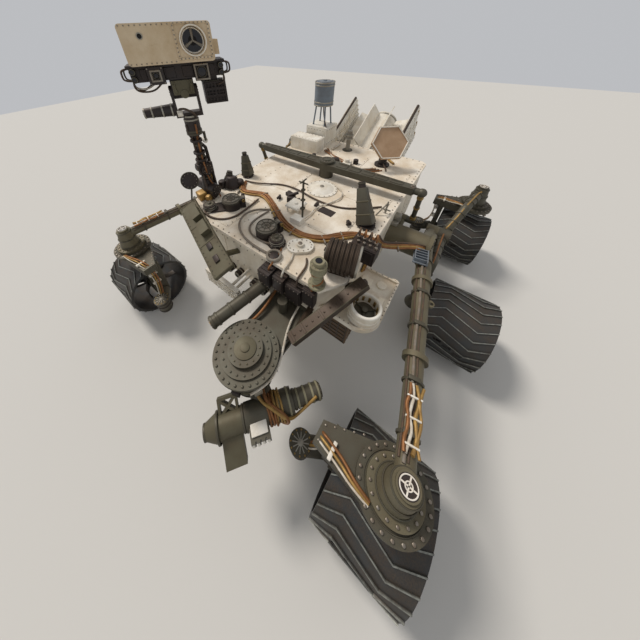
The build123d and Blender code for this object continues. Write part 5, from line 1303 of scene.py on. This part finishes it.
trim("rear_deck_boxes", white_ceramic, [
    slab((-0.4, 0.06, 1.116), (0.09, 0.07, 0.034), (0, 0, 12)),
    slab((-0.33, -0.12, 1.112), (0.06, 0.11, 0.026)),
    slab((-0.3, -0.33, 1.12), (0.05, 0.08, 0.042), (0, 0, -8)),
    rod((-0.4, 0.06, 1.13), (-0.4, 0.06, 1.16), 0.02, 24),
    rod((-0.33, -0.15, 1.124), (-0.33, -0.08, 1.124), 0.018, 20),
], 0.004)
trim("rear_deck_dark_boxes", black_anodised, [
    slab((-0.42, -0.06, 1.114), (0.05, 0.06, 0.03), (0, 0, 30)),
    rod((-0.47, 0.11, 1.1), (-0.47, 0.11, 1.142), 0.022, 24),
    slab((-0.34, 0.18, 1.112), (0.044, 0.034, 0.026), (0, 0, 50)),
    rod((-0.38, -0.26, 1.1), (-0.38, -0.26, 1.136), 0.018, 20),
], 0.003)
for number, (finish, shift) in enumerate((
    (copper_wrap, 0.0), (black_sleeve, 0.028), (white_sleeve, -0.026), (copper_wrap, 0.052),
)):
    cable(f"rear_deck_harness_{number}", [
        (-0.61 + shift, -0.25, 1.106), (-0.56 + shift, -0.2, 1.116), (-0.48, -0.12 + shift, 1.112),
        (-0.44, -0.02 + shift, 1.11), (-0.4 + shift, 0.06, 1.114), (-0.36 + shift, 0.16, 1.108),
        (-0.4 + shift, 0.24, 1.11), (-0.47, 0.29 + shift, 1.108),
    ], 0.006, finish)

# Small whip antenna
# A turned mast under grey enamel with a tapered collar, clamp bands and a screwed foot.
trim("whip_bands", pale_grey_alodine, [
    ring_band((-0.7, -0.08, height), radius, 0.0032, sides=32)
    for height, radius in ((1.216, 0.034), (1.25, 0.0345), (1.286, 0.0205))
])
trim("whip_foot_screws", steel, screw_ring((-0.7, -0.08, 1.1), 0.04, 8, 0.004, 0.004))
trim("whip_foot", olive_anodised, rod((-0.7, -0.08, 1.099), (-0.7, -0.08, 1.104), 0.048, 32), 0.0015)

# Differential bar over the deck
# A machined, olive-anodised beam that turns on a post and ties the two rockers together.
# Pockets are milled in its top, and each end carries a ball joint with a rod to its rocker.
pockets = []
for side in (-1, 1):
    for number in range(5):
        y = side * (0.13 + 0.1 * number)
        width = 0.096 - 0.075 * abs(y)
        pockets.append(slab((-0.15 - width * 0.32, y, 1.2225), (0.008, 0.074, 0.006)))
        pockets.append(slab((-0.15 + width * 0.32, y, 1.2225), (0.008, 0.074, 0.006)))
        pockets.append(slab((-0.15, y + side * 0.043, 1.2225), (width * 0.72, 0.007, 0.006)))
trim("differential_bar_ribs", olive_anodised, pockets, 0.0018, 1)
trim("differential_post_screws", steel, screw_ring((-0.15, 0.0, 1.239), 0.042, 12, 0.005, 0.005))
trim("differential_hub_cap", olive_anodised, rod((-0.15, 0.0, 1.2385), (-0.15, 0.0, 1.245), 0.026, 28), 0.002)
for name, side in flanks:
    trim(f"differential_joint_{name}", steel, [
        rod((-0.15, side * 0.64, 1.168), (-0.15, side * 0.64, 1.226), 0.018, 24),
        rod((-0.15, side * 0.64, 1.224), (-0.15, side * 0.64, 1.232), 0.011, 6),
        rod((-0.15, side * 0.655, 1.196), (-0.15, side * 0.7, 1.196), 0.014, 18),
    ], 0.002)
    rod_start = Vector((-0.15, side * 0.7, 1.196))
    rod_end = Vector((-0.24, side * 0.7, 0.9))
    rod_turn = aimed(rod_end - rod_start)
    trim(f"differential_rod_nuts_{name}", gold_screws, [
        ring_band(rod_start.lerp(rod_end, share), 0.0165, 0.0045, rod_turn, 24)
        for share in (0.1, 0.16, 0.5, 0.84, 0.9)
    ])


# Power source at the rear
# A finned generator in a carrier, between two white heat plates of folded aluminium with
# coolant tubes brazed to both faces; the tubes end in gold-coated elbows.
source_turn = Matrix.Translation(Vector((-1.205, 0.0, 1.06))) @ Matrix((
    (0.5, 0.0, -0.866), (0.0, 1.0, 0.0), (0.866, 0.0, 0.5),
)).to_4x4()


def on_source(x, y, z):
    """A point in the power source's own axes, with z along the generator."""
    return source_turn @ Vector((x, y, z))


source_spin = source_turn.to_3x3().to_4x4()
source_angles = [angle * 180 / pi for angle in source_turn.to_euler()]
for name, side in flanks:
    for face, y, radius in (("outer", side * 0.3305, 0.0085), ("inner", side * 0.2995, 0.0075)):
        points = []
        for number in range(6):
            x = -0.115 + 0.074 * number
            end = 0.222 if number % 2 else -0.222
            points += [on_source(x, y, z) for z in (end, 0.0, -end)]
        cable(f"heat_plate_tube_{name}_{face}", points, radius, white_ceramic, 4)
    elbows = []
    for number in range(5):
        x = -0.115 + 0.074 * (number + 0.5)
        z = 0.236 if number % 2 == 0 else -0.236
        elbows.append(slab(on_source(x, side * 0.3325, z), (0.056, 0.01, 0.014), source_angles))
    trim(f"heat_plate_elbows_{name}", gold_wrap, elbows, 0.003)
    ribs = []
    for z in (-0.16, -0.055, 0.055, 0.16):
        ribs.append(slab(on_source(0.07, side * 0.3325, z), (0.4, 0.008, 0.016), source_angles))
        ribs.append(slab(on_source(0.07, side * 0.2975, z), (0.4, 0.008, 0.016), source_angles))
    for x in (-0.132, 0.272):
        ribs.append(slab(on_source(x, side * 0.3325, 0.0), (0.014, 0.009, 0.492), source_angles))
    trim(f"heat_plate_ribs_{name}", white_ceramic, ribs, 0.0015, 1)
    face_turn = source_spin @ turned(-90 * side, "X")
    trim(f"heat_plate_screws_{name}", steel, [
        screw_line(
            on_source(x, side * 0.3365, -0.23), on_source(x, side * 0.3365, 0.23), 12, 0.004, 0.003,
            face_turn,
        )
        for x in (-0.132, 0.272)
    ])
trim("heat_plate_edge_tubes", bronze_anodised, [
    rod(on_source(x, side * 0.315, -0.252), on_source(x, side * 0.315, 0.252), radius, 20)
    for side in (-1, 1)
    for x, radius in ((0.284, 0.0115), (-0.14, 0.0095))
], 0.002)
end_z = 0.26
trim(
    "source_end_screws_rear", steel,
    screw_ring(on_source(0.0, 0.0, end_z), 0.118, 16, 0.006, 0.006, source_spin),
)
trim("source_end_cap_rear", pale_grey_alodine, [
    soften(rod(on_source(0.0, 0.0, end_z - 0.001), on_source(0.0, 0.0, end_z + 0.01), 0.092, 44), 0.004),
    soften(rod(on_source(0.0, 0.0, end_z + 0.009), on_source(0.0, 0.0, end_z + 0.022), 0.034, 28), 0.004),
])
for label, z in (("rear", end_z - 0.012), ("front", 0.012 - end_z)):
    trim(
        f"source_end_ring_{label}", pale_grey_alodine,
        ring_band(on_source(0.0, 0.0, z), 0.135, 0.005, source_spin),
    )
cable("source_supply_tube_left", [
    on_source(0.2, 0.296, -0.236), on_source(0.12, 0.26, -0.28), (-0.93, 0.25, 0.99), (-0.88, 0.26, 1.02),
    (-0.836, 0.27, 1.06), (-0.8, 0.28, 1.104), (-0.7, 0.3, 1.11), (-0.64, 0.38, 1.11),
], 0.01, gold_wrap)
cable("source_supply_tube_right", [
    on_source(0.2, -0.296, -0.236), on_source(0.12, -0.26, -0.28), (-0.93, -0.25, 0.99), (-0.88, -0.24, 1.02),
    (-0.836, -0.21, 1.07), (-0.8, -0.2, 1.104), (-0.72, -0.19, 1.11), (-0.61, -0.2, 1.11),
], 0.01, white_sleeve)

# Leaning posts
# Dark tapered posts that hold sample drill spares, each turned from one piece with grooves
# picked out by clamp bands and a cap screwed on the end.
for number, (foot, tip, radius, cowled) in enumerate((
    ((0.25, 0.51, 1.11), (0.16, 0.4, 1.33), 0.046, True),
    ((0.43, -0.545, 1.11), (0.39, -0.545, 1.21), 0.044, False),
    ((0.23, -0.52, 1.11), (0.214, -0.55, 1.3), 0.038, True),
)):
    foot, tip = Vector(foot), Vector(tip)
    turn = aimed(tip - foot)
    trim(f"post_bands_{number}", olive_anodised, [
        ring_band(foot.lerp(tip, share), radius * (1 - 0.58 * share) + 0.0005, 0.0028, turn, 32)
        for share in (0.12, 0.3, 0.55, 0.8, 0.96)
    ])
    slots = []
    for angle in range(0, 360, 60):
        out = turn @ heading(angle)
        start = foot.lerp(tip, 0.32) + out * (radius * 0.81)
        end = foot.lerp(tip, 0.54) + out * (radius * 0.69)
        slots.append(rod(start, end, 0.0035, 8))
    trim(f"post_ribs_{number}", olive_anodised, slots, 0.001, 1)
    trim(f"post_foot_screws_{number}", steel, screw_ring(foot, radius * 1.24, 8, 0.0042, 0.004))
    if cowled:
        trim(
            f"post_cowl_{number}", olive_anodised,
            rod(foot + (tip - foot) * 0.02, foot + (tip - foot) * 0.86, radius * 1.5, 4, radius * 0.8), 0.004,
        )
        trim(f"post_cowl_straps_{number}", arm_titanium, [
            ring_band(foot.lerp(tip, share), radius * (1.5 - 0.81 * share), 0.003, turn, 4)
            for share in (0.25, 0.55)
        ])

# Sample inlets
# Dark anodised bases with a wire sieve in the funnel's mouth, a geared motor with a screwed cap
# and coil springs on the hinge pin; ribbed lids of grey titanium swing over them.
for name, x, y, hinge_angle, plate_angle, reach in (
    ("front", 0.668, 0.07, 160, 75, 0.1), ("rear", 0.6, -0.31, 139, 319, 0.15),
):
    centre = Vector((x, y, 0.0))
    sieve = []
    height, opening = 1.1405, 0.046
    for number in range(-2, 3):
        offset = number * 0.0165
        half = (opening ** 2 - offset ** 2) ** 0.5
        for start, end in (
            ((offset, -half, height), (offset, half, height)),
            ((-half, offset, height + 0.002), (half, offset, height + 0.002)),
        ):
            sieve.append(rod(centre + Vector(start), centre + Vector(end), 0.0011, 8))
    trim(f"inlet_sieve_{name}", steel, sieve, 0.0002, 1)
    trim(f"inlet_mouth_ring_{name}", olive_anodised, ring_band(centre + up * 1.1505, 0.062, 0.0028))
    motor = centre + heading(plate_angle) * reach
    trim(f"inlet_motor_cap_{name}", olive_anodised, [
        soften(rod(motor + up * 1.1455, motor + up * 1.15, 0.034, 32), 0.0015),
        soften(rod(motor + up * 1.1495, motor + up * 1.158, 0.011, 20), 0.002),
    ])
    trim(f"inlet_motor_screws_{name}", steel, screw_ring(motor + up * 1.15, 0.027, 8, 0.0032, 0.003))
    trim(f"inlet_motor_bands_{name}", pale_grey_alodine, [
        ring_band(motor + Vector((0, 0, height)), 0.0422, 0.0022)
        for height in (1.118, 1.134)
    ])
    trim(
        f"inlet_plate_screws_{name}", steel,
        set_at(screw(0.0034, 0.003), [
            Matrix.Translation(motor + heading(angle) * 0.048 + up * 1.112)
            for angle in range(0, 360, 30)
        ]),
    )
    hinge_turned = Matrix.Translation(centre) @ turned(hinge_angle, "Z")
    for label, side in (("a", -1), ("b", 1)):
        winding = []
        for number in range(33):
            angle = 2 * pi * number / 8
            winding.append(
                hinge_turned @ Vector((
                    0.082 + 0.009 * cos(angle), side * (0.0315 + 0.004 * number / 8),
                    1.164 + 0.009 * sin(angle),
                ))
            )
        cable(f"inlet_spring_{name}_{label}", winding, 0.0017, gold_screws, 3)
    lid_ribs = [
        ring_band(hinge_turned @ (up * 1.1695), 0.056, 0.003),
        ring_band(hinge_turned @ (up * 1.1695), 0.026, 0.0026),
    ]
    for angle in range(0, 180, 45):
        out, middle = heading(angle) * 0.055, up * 1.1695
        lid_ribs.append(rod(hinge_turned @ (middle + out), hinge_turned @ (middle - out), 0.0026, 8))
    for y in (0.008, -0.008):
        lid_ribs.append(
            rod(hinge_turned @ Vector((0.02, y, 1.17)), hinge_turned @ Vector((0.078, y, 1.17)), 0.003, 8)
        )
    trim(f"inlet_lid_ribs_{name}", olive_anodised, lid_ribs, 0.0006, 1, body=f"inlet_lid_{name}")
trim("rear_inlet_slots", black_anodised, [
    slab((x, y, 1.1125), (0.012, 0.044, 0.003), (0, 0, 49))
    for x, y in ((0.686, -0.392), (0.71, -0.413))
], 0.001, 1)
cable("front_inlet_harness", [
    (0.7, 0.21, 1.104), (0.712, 0.196, 1.124), (0.726, 0.176, 1.13), (0.73, 0.15, 1.12), (0.735, 0.11, 1.106),
    (0.74, 0.02, 1.108), (0.7, -0.06, 1.108), (0.6, -0.08, 1.108), (0.5, -0.06, 1.108),
], 0.006, grey_sleeve)
cable("rear_inlet_harness", [
    (0.74, -0.44, 1.104), (0.77, -0.4, 1.114), (0.776, -0.33, 1.108), (0.75, -0.25, 1.108),
    (0.68, -0.2, 1.108), (0.56, -0.2, 1.108), (0.44, -0.21, 1.112),
], 0.007, black_sleeve)

# Ribbed canister and the box beside it
# A bronze drum with fine ribs and a bright lip round its mouth, strapped down over a black
# housing with wires and connectors on its top.
drum_start = Vector((0.658, 0.468, 1.188))
drum_along = heading(104)
drum_turn = aimed(drum_along)
trim("canister_ribs", bronze_anodised, [
    ring_band(drum_start + drum_along * (0.0104 + 0.0207 * number + shift), 0.0822, 0.0017, drum_turn, 56)
    for number in range(7)
    for shift in (-0.0035, 0.0035)
])
trim(
    "canister_lip", pale_grey_alodine,
    ring_band(drum_start + drum_along * 0.1448, 0.072, 0.007, drum_turn, 56),
)
trim(
    "canister_lip_screws", steel,
    screw_ring(drum_start + drum_along * 0.1515, 0.072, 16, 0.003, 0.003, drum_turn),
)
back_turn = aimed(-drum_along)
trim("canister_back_plate", olive_anodised, [
    soften(rod(drum_start - drum_along * 0.006, drum_start + drum_along * 0.001, 0.062, 40), 0.002),
    soften(rod(drum_start - drum_along * 0.014, drum_start, 0.022, 24), 0.002),
])
trim("canister_back_screws", steel, screw_ring(drum_start, 0.072, 14, 0.0036, 0.003, back_turn))
trim("black_housing_panels", black_anodised, [
    slab((0.494, 0.595, 1.1995), (0.076, 0.118, 0.004)), slab((0.4485, 0.595, 1.149), (0.004, 0.11, 0.08)),
    slab((0.5395, 0.595, 1.149), (0.004, 0.11, 0.08)),
], 0.0015, 1)
plugs = []
for number in range(4):
    y = 0.55 + 0.03 * number
    plugs.append(rod((0.484, y, 1.198), (0.484, y, 1.222), 0.01, 16))
    plugs.append(rod((0.51, y + 0.01, 1.198), (0.51, y + 0.01, 1.216), 0.0075, 14))
trim("black_housing_plugs", steel, plugs, 0.0015)
for number in range(4):
    y = 0.55 + 0.03 * number
    cable(f"black_housing_wire_{number}", [
        (0.484, y, 1.218), (0.482, y, 1.246), (0.456, y - 0.008, 1.252), (0.424, y - 0.016, 1.21),
        (0.412, y - 0.03, 1.15), (0.404, y - 0.05 - 0.01 * number, 1.108),
    ], 0.005, copper_wrap if number % 2 else black_sleeve)

# Sensor column
# A slim grey-green column with clamp bands, a round head and a dark window in its cap, its
# cable wound once round the foot.
column_x, column_y = 0.79, 0.492
trim("column_bands", sage_paint, [
    ring_band((column_x, column_y, height), radius, 0.0032, sides=36)
    for height, radius in ((1.128, 0.0255), (1.16, 0.0255), (1.196, 0.0255), (1.209, 0.0365), (1.246, 0.0365))
])
trim(
    "column_window", lens_glass, rod((column_x, column_y, 1.2715), (column_x, column_y, 1.2745), 0.016, 24),
    0.001, 1,
)
trim("column_head_screws", steel, screw_ring((column_x, column_y, 1.25), 0.0315, 10, 0.0028, 0.0026))
trim("column_foot_screws", steel, screw_ring((column_x, column_y, 1.112), 0.0345, 8, 0.0034, 0.003))
trim("column_head_ribs", sage_paint, [
    rod(
        Vector((column_x, column_y, 1.214)) + out * 0.0372,
        Vector((column_x, column_y, 1.241)) + out * 0.0372, 0.0028, 8,
    )
    for out in map(heading, range(0, 360, 24))
], 0.0006, 1)
wind = [
    (column_x + 0.03 * cos(0.9 * k), column_y + 0.03 * sin(0.9 * k), 1.122 + 0.0095 * k)
    for k in range(9)
]
cable("column_cable", [(0.74, 0.44, 1.106), (0.762, 0.452, 1.112)] + wind, 0.0045, copper_wrap)


# Side tray, round bin and slotted rack
# A white painted tray with its rim, the open bin with a bright ring and its mechanism, and a
# bronze rack of slots below; screws run round every edge.
tray_finish = dusty_finish("tray_paint_over_bronze_rack", "#E6E0D0", "#CFC6B2", "#A8835C", 0.34, 0.58)
tray_tree = tray_finish.node_tree
tray_coat = tray_tree.nodes["Principled BSDF"].inputs["Base Color"].links[0].from_node
painted = tray_coat.inputs[6].links[0].from_socket
tray_height = add_node(
    tray_tree, "ShaderNodeSeparateXYZ", None,
    {0: add_node(tray_tree, "ShaderNodeTexCoord").outputs["Object"]},
)
rack_top = 0.905
above_rack = add_node(
    tray_tree, "ShaderNodeMath", {1: rack_top}, {0: tray_height.outputs["Z"]}, operation="GREATER_THAN",
)
tray_or_rack = add_node(
    tray_tree, "ShaderNodeMix", {6: tone("#4B3A2B")}, {0: above_rack.outputs["Value"], 7: painted},
    data_type="RGBA",
)
tray_tree.links.new(tray_or_rack.outputs[2], tray_coat.inputs[6])
paint(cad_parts["bit_box"], tray_finish)
trim("tray_screws", steel, [
    screw_line((0.412, 0.796, 0.9355), (0.67, 0.796, 0.9355), 11, 0.0034, 0.003),
    screw_line((0.784, 0.61, 0.9355), (0.784, 0.68, 0.9355), 4, 0.0034, 0.003),
    screw_line((0.406, 0.61, 0.9355), (0.406, 0.74, 0.9355), 5, 0.0034, 0.003),
])
bin_x, bin_y = 0.69, 0.716
trim("bin_rings", white_ceramic, [
    ring_band((bin_x, bin_y, 0.999), 0.068, 0.0075, sides=56),
    ring_band((bin_x, bin_y, 0.93), 0.077, 0.005, sides=56),
    ring_band((bin_x, bin_y, 0.966), 0.0762, 0.0028, sides=56),
])
trim("bin_screws", steel, screw_ring((bin_x, bin_y, 1.0055), 0.068, 14, 0.0032, 0.003))
works = [
    soften(rod((bin_x, bin_y, 0.9475), (bin_x, bin_y, 0.956), 0.05, 40), 0.002),
    soften(rod((bin_x, bin_y, 0.955), (bin_x, bin_y, 0.975), 0.016, 24), 0.003),
]
for angle in (10, 130, 250):
    out = heading(angle)
    start, end = Vector((bin_x, bin_y, 0.962)) + out * 0.01, Vector((bin_x, bin_y, 0.958)) + out * 0.056
    works.append(rod(start, end, 0.005, 12))
trim("bin_works", olive_anodised, works, 0.001, 1)
jaws = []
for angle in range(0, 360, 30):
    out = heading(angle)
    jaws.append(slab(Vector((bin_x, bin_y, 0.976)) + out * 0.0575, (0.006, 0.012, 0.034), (0, 0, angle)))
trim("bin_jaws", gold_screws, jaws, 0.0015, 1)
trim("tray_plates", cream_paint, [
    soften(rod((0.47, 0.73, 0.919), (0.47, 0.73, 0.932), 0.026, 28), 0.002),
    slab((0.52, 0.65, 0.923), (0.12, 0.06, 0.006)), slab((0.58, 0.76, 0.923), (0.07, 0.03, 0.01)),
], 0.0015, 1)
rack_out = turned(-90, "X")
trim("rack_screws", steel, [
    screw_line(
        (0.606, 0.69, 0.735 + 0.0385 * number), (0.782, 0.69, 0.735 + 0.0385 * number), 7, 0.0032, 0.003,
        rack_out,
    )
    for number in range(5)
])
rack_ribs = [slab((0.79, 0.595, 0.738 + 0.034 * number), (0.004, 0.17, 0.01)) for number in range(5)]
rack_ribs += [slab((0.79, 0.512 + 0.042 * number, 0.815), (0.005, 0.006, 0.168)) for number in range(5)]
trim("rack_front_ribs", bronze_anodised, rack_ribs, 0.001, 1)

# Black boxes on the front
# Electronics boxes in black anodised aluminium with screwed fronts, connectors on their tops
# and taped harnesses that go up over the edge of the deck.
hull_front = 0.8
for number, (y, width, depth, drop, height) in enumerate((
    (0.224, 0.076, 0.084, 0.13, 0.104), (0.301, 0.07, 0.062, 0.15, 0.11), (0.388, 0.096, 0.048, 0.185, 0.125),
    (0.473, 0.068, 0.036, 0.145, 0.115),
)):
    face_x = hull_front + depth
    floor_z = deck_top - drop
    trim(
        f"front_box_cover_{number}", black_anodised,
        slab((face_x + 0.001, y, floor_z + height / 2), (0.005, width - 0.01, height - 0.01)), 0.0015, 1,
    )
    out = turned(90, "Y")
    trim(f"front_box_screws_{number}", steel, [
        screw_line(
            (face_x + 0.003, y - width / 2 + 0.01, z), (face_x + 0.003, y + width / 2 - 0.01, z), 4, 0.0032,
            0.003, out,
        )
        for z in (floor_z + 0.012, floor_z + height - 0.012)
    ])
    trim(f"front_box_ribs_{number}", black_anodised, [
        slab((hull_front + depth * share, y, floor_z + height + 0.0015), (0.004, width - 0.012, 0.005))
        for share in (0.25, 0.5, 0.75)
    ], 0.001, 1)
    top = floor_z + height
    cable(f"front_box_wire_{number}", [
        (hull_front + depth * 0.6, y + 0.012, top), (hull_front + depth * 0.6, y + 0.014, top + 0.02),
        (0.826, y + 0.016, 1.098), (0.818, y + 0.016, 1.112), (0.79, y + 0.014, 1.11),
        (0.74 - 0.01 * number, y + 0.006, 1.107), (0.69, y - 0.02, 1.106),
    ], 0.0055, (copper_wrap, white_sleeve, black_sleeve, copper_wrap)[number])

# Front grid, flat stowage panel and its two boxes
# A white painted grid on four studs; the olive panel beside it is a folded plate with pale
# edges, a row of screws along each side and quick latches.
grid_bars = [slab((0.9815, -0.2 + 0.29 * number / 12, 0.821), (0.004, 0.003, 0.112)) for number in range(13)]
grid_bars += [slab((0.9815, -0.055, height), (0.004, 0.284, 0.003)) for height in (0.792, 0.85)]
trim("front_grid_wires", white_ceramic, grid_bars, 0.0006, 1)
grid_screws = [
    Matrix.Translation((0.981, y, z)) @ turned(90, "Y")
    for y in (-0.196, -0.104, -0.006, 0.086)
    for z in (0.7665, 0.8755)
]
trim("front_grid_screws", steel, set_at(screw(0.0038, 0.003), grid_screws))
panel_start = Vector((0.8, -0.532, 1.134))
panel_end = Vector((0.997, 0.053, 1.056))
panel_length = (panel_end - panel_start).length
panel_z = (panel_end - panel_start).normalized()
panel_y = panel_z.cross(Vector((1.0, 0.0, -0.5))).normalized()
panel_x = panel_y.cross(panel_z)
panel_turn = Matrix.Translation(panel_start) @ Matrix((panel_x, panel_y, panel_z)).transposed().to_4x4()
panel_spin = panel_turn.to_3x3().to_4x4()
panel_angles = [angle * 180 / pi for angle in panel_spin.to_euler()]
up_sign = 1 if panel_y.z > 0 else -1
edges = [
    slab(
        panel_turn @ Vector((side * 0.0595, up_sign * 0.0125, panel_length / 2)),
        (0.006, 0.004, panel_length - 0.006), panel_angles,
    )
    for side in (-1, 1)
]
edges += [
    slab(panel_turn @ Vector((0.0, up_sign * 0.0125, z)), (0.116, 0.004, 0.006), panel_angles)
    for z in (0.006, panel_length * 0.36, panel_length * 0.62, panel_length - 0.006)
]
trim("stowage_panel_edges", arm_titanium, edges, 0.001, 1)
panel_up = panel_spin @ turned(-90 * up_sign, "X")
trim("stowage_panel_screws", olive_anodised, [
    screw_line(
        panel_turn @ Vector((side * 0.05, up_sign * 0.012, 0.02)),
        panel_turn @ Vector((side * 0.05, up_sign * 0.012, panel_length - 0.02)), 18, 0.0034, 0.003, panel_up,
    )
    for side in (-1, 1)
])
trim("stowage_panel_latches", black_anodised, [
    slab(panel_turn @ Vector((0.0, up_sign * 0.016, panel_length * share)), (0.03, 0.01, 0.048), panel_angles)
    for share in (0.68, 0.84)
], 0.002)

# Arm restraint and front brace
# A dark brown box beam with light edge strips and screws, and a tube brace with clamp bands.
beam_start, beam_end = Vector((0.65, 0.674, 1.11)), Vector((1.015, 0.505, 0.93))
beam_z = (beam_end - beam_start).normalized()
beam_x = Vector((-beam_z.y, beam_z.x, 0.0)).normalized()
beam_y = beam_z.cross(beam_x)
beam_turn = Matrix.Translation(beam_start) @ Matrix((beam_x, beam_y, beam_z)).transposed().to_4x4()
beam_angles = [angle * 180 / pi for angle in beam_turn.to_euler()]
beam_length = (beam_end - beam_start).length
beam_up = 1 if beam_y.z > 0 else -1
trim("restraint_edge_strips", arm_titanium, [
    slab(
        beam_turn @ Vector((side * 0.0275, beam_up * 0.0205, beam_length / 2)),
        (0.0034, 0.005, beam_length - 0.004), beam_angles,
    )
    for side in (-1, 1)
], 0.001, 1)
trim("restraint_cross_strips", bronze_anodised, [
    slab(beam_turn @ Vector((0.0, beam_up * 0.0225, beam_length * share)), (0.052, 0.004, 0.012), beam_angles)
    for share in (0.1, 0.34, 0.58, 0.82, 0.96)
], 0.001, 1)
beam_top = beam_turn.to_3x3().to_4x4() @ turned(-90 * beam_up, "X")
trim(
    "restraint_screws", bronze_anodised,
    screw_line(
        beam_turn @ Vector((0.0, beam_up * 0.0215, 0.03)),
        beam_turn @ Vector((0.0, beam_up * 0.0215, beam_length - 0.03)), 12, 0.005, 0.004, beam_top,
    ),
)
brace_start, brace_end = Vector((0.8, 0.212, 0.93)), Vector((1.19, 0.12, 0.89))
brace_along = (brace_end - brace_start).normalized()
brace_turn = aimed(brace_end - brace_start)
trim("brace_bands", olive_anodised, [
    ring_band(brace_start.lerp(brace_end, share), 0.0345, 0.0042, brace_turn, 40)
    for share in (0.12, 0.2, 0.45, 0.7, 0.9, 0.975)
])
trim("brace_end_screws", steel, screw_ring(brace_end, 0.024, 8, 0.004, 0.004, brace_turn))
trim(
    "brace_end_disc", gold_screws,
    rod(brace_end - brace_along * 0.001, brace_end + brace_along * 0.004, 0.014, 24), 0.001, 1,
)

# Hazard cameras
# Pairs of small black cameras, front and rear, each with a lens, a bright bezel and a shroud.
lenses, bezels = [], []
turn = turned(90, "Y")
for x, way, y_middle, z in ((0.846, 1, 0.11, 0.78), (-0.876, -1, 0.47, 0.88)):
    for side in (-1, 1):
        for offset in (-0.041, 0.041):
            y = side * y_middle + offset
            lenses.append(soften(rod((x - way * 0.001, y, z), (x + way * 0.003, y, z), 0.015, 24), 0.0015))
            bezels.append(ring_band((x + way * 0.0005, y, z), 0.0195, 0.0038, turn, 28))
            bezels.append(ring_band((x - way * 0.03, y, z), 0.0262, 0.0022, turn, 28))
trim("hazard_lenses", lens_glass, lenses)
trim("hazard_bezels", pale_grey_alodine, bezels)

# Hull panels
# The warm box is closed by flat painted panels, each held by a row of small screws. The same
# cream paint covers the sides, the front, the tail and the belly.
plates, rows = [], []
for side in (-1, 1):
    y = side * 0.59
    out = turned(-90 * side, "X")
    for x0, x1, z0, z1 in (
        (-0.78, -0.42, 0.8, 1.05), (-0.395, 0.03, 0.64, 1.05), (0.055, 0.395, 0.64, 1.05),
        (0.42, 0.59, 0.64, 0.89),
    ):
        plates.append(
            soften(
                slab(((x0 + x1) / 2, y + side * 0.0008, (z0 + z1) / 2), (x1 - x0, 0.005, z1 - z0)), 0.0015, 1,
            )
        )
        count = max(4, int((x1 - x0) / 0.055))
        for z in (z0 + 0.012, z1 - 0.012):
            rows.append(
                screw_line(
                    (x0 + 0.014, y + side * 0.003, z), (x1 - 0.014, y + side * 0.003, z), count, 0.0042,
                    0.003, out,
                )
            )
for x, way, panels in (
    (0.8, 1, ((-0.44, -0.18, 0.76, 1.06), (-0.16, 0.16, 0.86, 1.06))),
    (-0.83, -1, ((-0.54, -0.25, 0.79, 1.05), (0.25, 0.54, 0.79, 1.05), (-0.23, 0.23, 0.79, 1.05))),
):
    out = turned(90 * way, "Y")
    for y0, y1, z0, z1 in panels:
        plates.append(
            soften(
                slab((x + way * 0.0008, (y0 + y1) / 2, (z0 + z1) / 2), (0.005, y1 - y0, z1 - z0)), 0.0015, 1,
            )
        )
        for z in (z0 + 0.012, z1 - 0.012):
            rows.append(
                screw_line(
                    (x + way * 0.003, y0 + 0.014, z), (x + way * 0.003, y1 - 0.014, z),
                    max(4, int((y1 - y0) / 0.05)), 0.0042, 0.003, out,
                )
            )
trim("hull_cover_plates", cream_paint, plates)
belly_turn = turned(180, "X")
rows += [screw_line((-0.64, y, 0.6), (0.59, y, 0.6), 24, 0.0046, 0.003, belly_turn) for y in (-0.49, 0.49)]
rows += [screw_line((x, -0.48, 0.6), (x, 0.48, 0.6), 18, 0.0046, 0.003, belly_turn) for x in (-0.642, 0.592)]
trim("hull_cover_screws", steel, rows)
